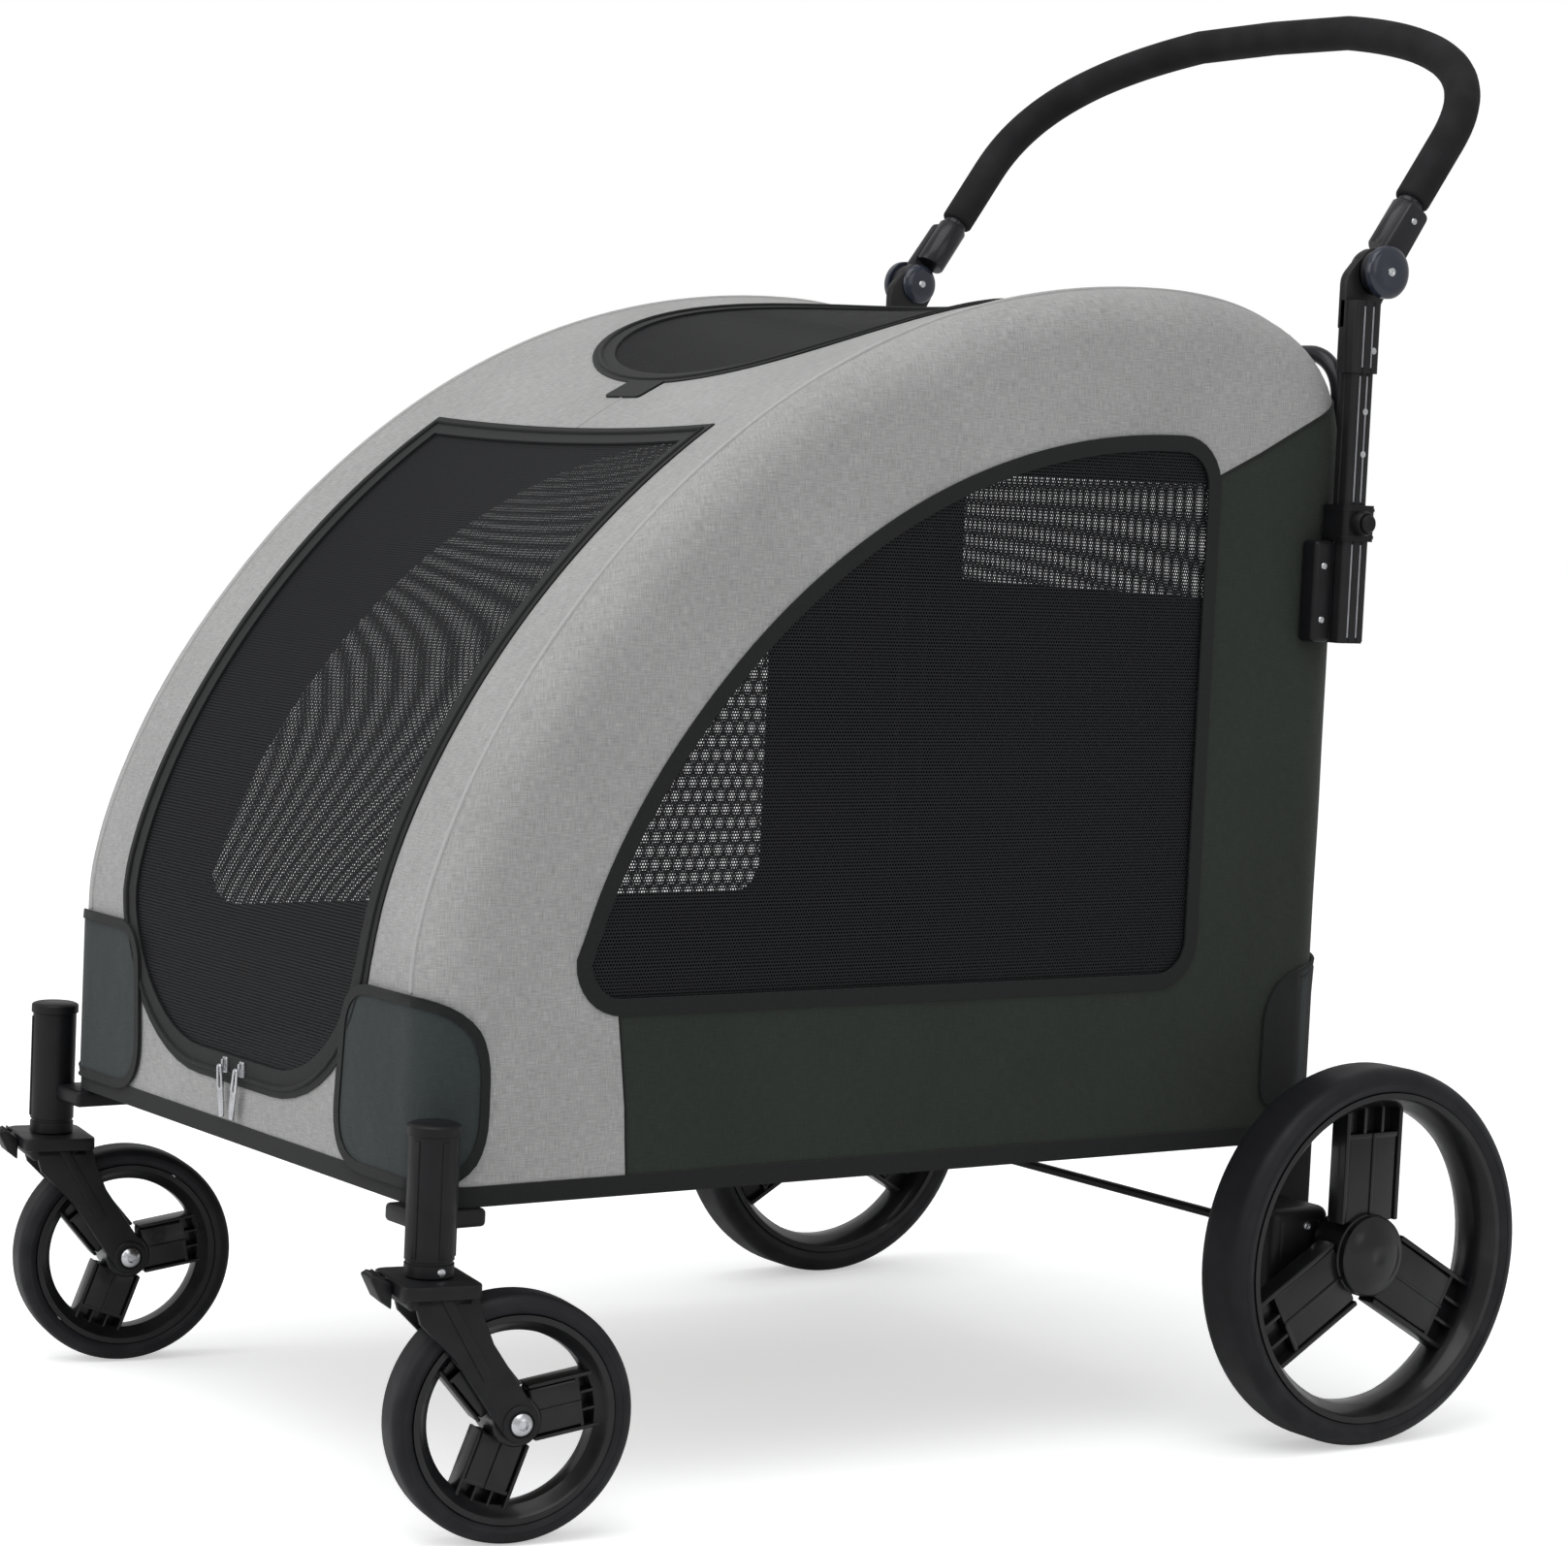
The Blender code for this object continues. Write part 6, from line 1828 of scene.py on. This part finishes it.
@dataclass
class Handle:
    """Bowed handle with its foam grip, pivot cheeks and knobs."""

    pivot_y: float = 0.3182
    pivot_z: float = 0.829
    hub_x: float = 0.2728
    hub_thick: float = 0.0085
    half_width: float = 0.266
    reach: float = 0.238
    lean: float = radians(35)
    tube_radius: float = 0.0095
    grip_radius: float = 0.0130

    def on_plane(self, x: float, reach: float) -> Vector:
        """A point of the handle's leaning plane."""
        return Vector((x, self.pivot_y + reach * sin(self.lean), self.pivot_z + reach * cos(self.lean)))

    def path(self, start: float) -> list[Vector]:
        """The bowed line from the left arm round to the right one."""
        wide, reach = self.half_width, self.reach
        half = [(wide, start), (wide, 0.120)]
        half = dense(half, 0.012, closed=False)
        curve = [(wide, 0.120), (wide, reach - 0.048), (wide - 0.076, reach - 0.016), (wide - 0.181, reach)]
        half += bezier(curve, 30)[1:]
        half += dense([(wide - 0.181, reach), (0.0, reach + 0.002)], 0.012, closed=False)[1:]
        points = half + [(-x, r) for x, r in reversed(half[:-1])]
        return [self.on_plane(x, r) for x, r in points]

    def build(self) -> None:
        """Make the handle and its knobs."""
        parts = [tube(self.path(0.028), self.tube_radius, sides=7)]
        turn = Matrix.Rotation(-self.lean, 3, "X")
        rivets = []
        for side, name in SIDES:
            cheek_outline = rounded([(-0.0115, 0.0), (0.0115, 0.0), (0.0100, 0.058), (-0.0100, 0.058)],
                                    [0, 0, 0.005, 0.005])
            cheek = plate(cheek_outline, self.hub_x, self.hub_x + self.hub_thick, "X", 0.0016)
            clamp = turned([(0.020, 0.0), (0.020, 0.0108), (0.0215, 0.0118), (0.058, 0.0118),
                            (0.0598, 0.0106),
                            (0.0598, 0.0)], (self.half_width, 0, 0), "Z", 48)
            bmesh.ops.rotate(cheek, verts=cheek.verts, cent=(0, 0, 0), matrix=turn)
            bmesh.ops.rotate(clamp, verts=clamp.verts, cent=(0, 0, 0), matrix=turn)
            both = joined([cheek, clamp])
            bmesh.ops.translate(both, verts=both.verts, vec=(0, self.pivot_y, self.pivot_z))
            hub = turned([(self.hub_x, 0.0033), (self.hub_x, 0.0150), (self.hub_x + 0.001, 0.0160),
                          (self.hub_x + self.hub_thick - 0.001, 0.0160),
                          (self.hub_x + self.hub_thick, 0.0150),
                          (self.hub_x + self.hub_thick, 0.0033)], (0, self.pivot_y, self.pivot_z), steps=56,
                         closed=True)
            whole = joined([both, hub])
            if side < 0:
                bmesh.ops.scale(whole, vec=(-1, 1, 1), verts=whole.verts)
                bmesh.ops.reverse_faces(whole, faces=whole.faces)
            parts.append(whole)
            rivets.append(self.rivet(side, turn))
            self.knob(side, name)
        place(piece("handle_tube_v", joined(parts), [COATED]), "handle", "coated_tube", "handle_tube")
        place(piece("handle_rivets", joined(rivets), [STEEL]), "handle", "steel")
        grip = tube(self.path(0.064), self.grip_radius, sides=9)
        rims = [e for e in grip.edges if len(e.link_faces) == 2 and e.calc_face_angle(0) > radians(60)]
        bmesh.ops.bevel(grip, geom=rims, offset=0.003, segments=4, profile=0.5, affect="EDGES", material=-1)
        place(piece("handle_grip_v", grip, [FOAM]), "handle", "grip_foam", "handle_grip")

    def rivet(self, side: int, turn: Matrix) -> bmesh.types.BMesh:
        """A rivet head on the outer face of a pivot cheek."""
        face = self.hub_x + self.hub_thick - 0.0002
        bm = turned([(face, 0), (face, 0.0026), (face + 0.0009, 0.0021), (face + 0.0012, 0)], (0, 0, 0.046),
                    steps=20)
        bmesh.ops.rotate(bm, verts=bm.verts, cent=(0, 0, 0), matrix=turn)
        bmesh.ops.translate(bm, verts=bm.verts, vec=(0, self.pivot_y, self.pivot_z))
        if side < 0:
            bmesh.ops.scale(bm, vec=(-1, 1, 1), verts=bm.verts)
            bmesh.ops.reverse_faces(bm, faces=bm.faces)
        return bm

    def knob(self, side: int, name: str) -> None:
        """A pivot knob: pin, fluted disc and its screw.

        Args:
            side: 1 for left, -1 for right.
            name: left or right.
        """
        face = self.hub_x + self.hub_thick + 0.0003
        profile = [(self.hub_x - 0.007, 0), (self.hub_x - 0.007, 0.003), (face, 0.003), (face, 0.0180),
                   (face + 0.0006, 0.0188), (face + 0.0046, 0.0188), (face + 0.0062, 0.0178),
                   (face + 0.0074, 0.0150),
                   (face + 0.0078, 0.0090), (face + 0.0072, 0.0062), (face + 0.0072, 0)]
        bm = turned(profile, (0, self.pivot_y, self.pivot_z), steps=64)
        place(piece(f"handle_knob_{name}_v", bm, [KNOB], side), "handle", "black_plastic",
              f"handle_knob_{name}")
        screw = [(face + 0.0070, 0), (face + 0.0070, 0.0034), (face + 0.0082, 0.0030),
                 (face + 0.0085, 0.0016),
                 (face + 0.0078, 0.0010), (face + 0.0078, 0)]
        bm = turned(screw, (0, self.pivot_y, self.pivot_z), steps=24)
        place(piece(f"knob_screw_{name}", bm, [STEEL], side), "handle", "steel")
        inner = self.hub_x - 0.0083
        cap = [(inner - 0.0052, 0), (inner - 0.0052, 0.0090), (inner - 0.0040, 0.0140),
               (inner - 0.0020, 0.0158),
               (inner, 0.0162), (inner, 0)]
        bm = turned(cap, (0, self.pivot_y, self.pivot_z), steps=56)
        place(piece(f"pivot_cap_{name}", bm, [KNOB], side), "slider", "black_plastic")
        rivet = [(inner - 0.0066, 0), (inner - 0.0062, 0.0026), (inner - 0.0050, 0.0032),
                 (inner - 0.0050, 0)]
        bm = turned(rivet, (0, self.pivot_y, self.pivot_z), steps=24)
        place(piece(f"pivot_rivet_{name}", bm, [STEEL], side), "slider", "steel")


# ---------------------------------------------------------------- inside and zip

@dataclass
class FloorPad:
    """A stuffed floor pad with sewn channels, on its board."""

    channels: int = 5
    fill: float = 0.7

    def build(self) -> None:
        """Make the pad as a closed form, crowned between its seams."""
        low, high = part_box("floor_pad")
        size = Vector(high) - Vector(low)
        bm = bmesh.new()
        bmesh.ops.create_grid(bm, x_segments=44, y_segments=84, size=0.5)
        grown = bmesh.ops.extrude_face_region(bm, geom=bm.faces[:])
        bmesh.ops.translate(bm, verts=grown_verts(grown), vec=(0, 0, 1))
        bmesh.ops.recalc_face_normals(bm, faces=bm.faces)
        flat = bm.loops.layers.uv.new("flat")
        for face in bm.faces:
            for loop in face.loops:
                loop[flat].uv = (loop.vert.co.x * size.x, loop.vert.co.y * size.y)
        for vert in bm.verts:
            u, v, w = vert.co
            edge = min(0.5 - abs(u), (0.5 - abs(v)) * size.y / size.x) / 0.06
            edge = min(max(edge, 0.0), 1.0)
            crown = (edge * (2 - edge)) ** 0.5
            seam = abs(sin(pi * (v + 0.5) * self.channels))
            top = 0.46 + 0.54 * crown * (0.45 + 0.55 * min(seam * 1.9, 1.0) ** 0.5)
            pull = 1 - 0.012 * (1 - abs(2 * v) ** 2)
            level = top if w > 0.5 else 0.30 * (1 - crown)
            vert.co = ((low[0] + high[0]) / 2 + u * size.x * pull, (low[1] + high[1]) / 2 + v * size.y,
                       low[2] + level * size.z)
        item = place(piece("floor_pad_v", bm, [PAD_CLOTH], angle=60), "base", "floor_pad", "floor_pad")
        soft = item.modifiers.new("soften", "SUBSURF")
        soft.levels = soft.render_levels = 1
        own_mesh(item)


@dataclass
class DoorZip:
    """The two sliders at the door's foot and their hanging pulls."""

    x: float = 0.012
    lean: float = radians(9)

    def build(self) -> None:
        """Make both sliders and both pulls."""
        for side, name in SIDES:
            low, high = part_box(f"zip_slider_{name}")
            front, rear, z = low[1], high[1], (low[2] + high[2]) / 2
            body = rounded([(self.x - 0.0042, z - 0.006), (self.x + 0.0042, z - 0.006),
                            (self.x + 0.0030, z + 0.006),
                            (self.x - 0.0030, z + 0.006)], 0.0018)
            parts = [upright_plate(body, front + 0.0022, rear, 0.0005),
                     block((self.x - 0.0011, front, z - 0.0040),
                           (self.x + 0.0011, front + 0.0032, z + 0.0045),
                           0.0007, 3)]
            item = piece(f"zip_slider_{name}_v", joined(parts), [STEEL], side)
            place(item, "base", "steel", f"zip_slider_{name}")
            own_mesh(item)
            self.pull(side, name)

    def pull(self, side: int, name: str) -> None:
        """A slotted pull with a thickened grip.

        Args:
            side: 1 for left, -1 for right.
            name: left or right.
        """
        low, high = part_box(f"zip_pull_{name}")
        y0, y1, top = low[1], high[1], high[2]
        path = rounded([(-0.0030, -0.0162), (0.0030, -0.0162), (0.0020, -0.0004), (-0.0020, -0.0004)],
                       0.0018)
        loop = tube([Vector((a, (y0 + y1) / 2, b)) for a, b in path], 0.0011, closed=True, sides=3)
        tag = upright_plate(rounded([(-0.0034, -0.0350), (0.0034, -0.0350), (0.0038, -0.0160),
                                     (-0.0038, -0.0160)],
                                    [0.0025, 0.0025, 0.0012, 0.0012]), y0, y1, 0.0004)
        ridge = block((-0.0018, y0 - 0.0003, -0.0330), (0.0018, y0 + 0.0004, -0.0180), 0.0003, 2)
        bm = joined([loop, tag, ridge])
        bmesh.ops.rotate(bm, verts=bm.verts, cent=(0, 0, 0), matrix=Matrix.Rotation(self.lean, 3, "Y"))
        bmesh.ops.translate(bm, verts=bm.verts, vec=(self.x, 0, top))
        item = piece(f"zip_pull_{name}_v", bm, [STEEL], side)
        place(item, f"zip_pull_{name}", "steel", f"zip_pull_{name}")
        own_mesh(item)


def upright_plate(outline: list[Point], front: float, rear: float, bevel: float) -> bmesh.types.BMesh:
    """Extrude an (x, z) outline along Y."""
    bm = plate([(x, z) for x, z in outline], -rear, -front, "Z", bevel)
    bmesh.ops.rotate(bm, verts=bm.verts, cent=(0, 0, 0), matrix=Matrix.Rotation(pi / 2, 3, "X"))
    return bm


# ---------------------------------------------------------------- stage

@dataclass
class Studio:
    """Pale floor, soft light and the camera."""

    eye: tuple[float, float, float] = (2.3059, -1.6208, 0.6598)
    azimuth: float = 54.61
    elevation: float = 4.23
    roll: float = 2.62
    lens: float = 89.31

    def build(self) -> None:
        """Set up the floor, the world, the lamps and the camera."""
        self.floor()
        self.world()
        self.lamp("key", (0.6, -1.2, 3.4), (0.0, 0.0, 0.4), 3.0, 62.0)
        self.lamp("fill", (3.6, 0.2, 1.9), (0.0, 0.0, 0.5), 2.2, 16.0)
        self.lamp("front", (-0.8, -3.6, 1.9), (0.0, 0.0, 0.5), 2.4, 34.0)
        self.camera()
        view = bpy.context.scene.view_settings
        view.view_transform = "Standard"

    def floor(self) -> None:
        """A wide pale floor."""
        bm = bmesh.new()
        bmesh.ops.create_grid(bm, x_segments=2, y_segments=2, size=40.0)
        bmesh.ops.translate(bm, verts=bm.verts, vec=(0, 0, FLOOR_Z - 0.0005))
        mesh = bpy.data.meshes.new("floor")
        bm.to_mesh(mesh)
        bm.free()
        made = bpy.data.materials.new("studio_floor")
        made.use_nodes = True
        g = Graph(made.node_tree)
        shader = made.node_tree.nodes["Principled BSDF"]
        shader.inputs["Roughness"].default_value = 0.95
        shader.inputs["Specular IOR Level"].default_value = 0.1
        shade = g.noise(g.node("TexCoord").outputs["Object"], 3.0)
        g.set(shader, "Base Color", g.blend(shade, (0.88, 0.885, 0.89), (0.90, 0.905, 0.91)))
        seen = g.node("LightPath").outputs["Is Camera Ray"]
        shader.inputs["Emission Color"].default_value = (1, 1, 1, 1)
        g.set(shader, "Emission Strength", g.math("MULTIPLY", seen, 0.46))
        mesh.materials.append(made)
        item = bpy.data.objects.new("floor", mesh)
        bpy.context.collection.objects.link(item)

    def world(self) -> None:
        """White behind the object, softer white on it."""
        world = bpy.data.worlds.new("studio")
        bpy.context.scene.world = world
        world.use_nodes = True
        g = Graph(world.node_tree)
        back = world.node_tree.nodes["Background"]
        path = g.node("LightPath")
        seen = g.math("MAXIMUM", path.outputs["Is Camera Ray"], path.outputs["Is Transmission Ray"])
        g.set(back, "Strength", g.ramp(seen, 0.0, 1.0, 0.62, 1.0))
        back.inputs["Color"].default_value = (1, 1, 1, 1)

    def lamp(self, name: str, spot: tuple[float, float, float], target: tuple[float, float, float],
             size: float,
             power: float) -> None:
        """Add a square soft lamp that points at a target."""
        data = bpy.data.lights.new(name, "AREA")
        data.size, data.energy = size, power
        item = bpy.data.objects.new(name, data)
        bpy.context.collection.objects.link(item)
        item.location = spot
        item.rotation_euler = (Vector(target) - Vector(spot)).to_track_quat("-Z", "Y").to_euler()

    def camera(self) -> None:
        """The camera, from its place, heading and roll."""
        az, el, roll = radians(self.azimuth), radians(self.elevation), radians(self.roll)
        back = Vector((sin(az) * cos(el), -cos(az) * cos(el), sin(el)))
        right = (-back).cross(Vector((0, 0, 1))).normalized()
        up = right.cross(-back)
        across = right * cos(roll) + up * sin(roll)
        upward = up * cos(roll) - right * sin(roll)
        data = bpy.data.cameras.new("camera")
        data.lens, data.sensor_width, data.clip_end = self.lens, 36.0, 200.0
        item = bpy.data.objects.new("camera", data)
        bpy.context.collection.objects.link(item)
        turn = Matrix((across, upward, back)).transposed().to_4x4()
        item.matrix_world = Matrix.Translation(Vector(self.eye)) @ turn
        bpy.context.scene.camera = item


@dataclass
class KeptParts:
    """CAD nodes whose shape is right, which only get a finish."""

    finishes: dict[str, Finish] = field(default_factory=lambda: {"floor_board": BOARD, "hinge_pin": STEEL,
                                                               "rear_axle": STEEL})

    def build(self) -> None:
        """Dress each remaining node through its material slots."""
        for name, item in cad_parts.items():
            kind = name.removesuffix("_left").removesuffix("_right")
            if kind not in self.finishes or not item.material_slots:
                continue
            for slot in item.material_slots:
                slot.material = self.finishes[kind].material()


def main() -> None:
    """Build the stroller's looks in order and report each part."""
    Studio().build()
    cabin = Cabin()
    cabin.build()
    TubeFrame(cabin.surface).build()
    Uprights().build()
    Handle().build()
    RearWheels().build()
    Casters().build()
    FloorPad().build()
    DoorZip().build()
    KeptParts().build()


if __name__ == "__main__":
    main()
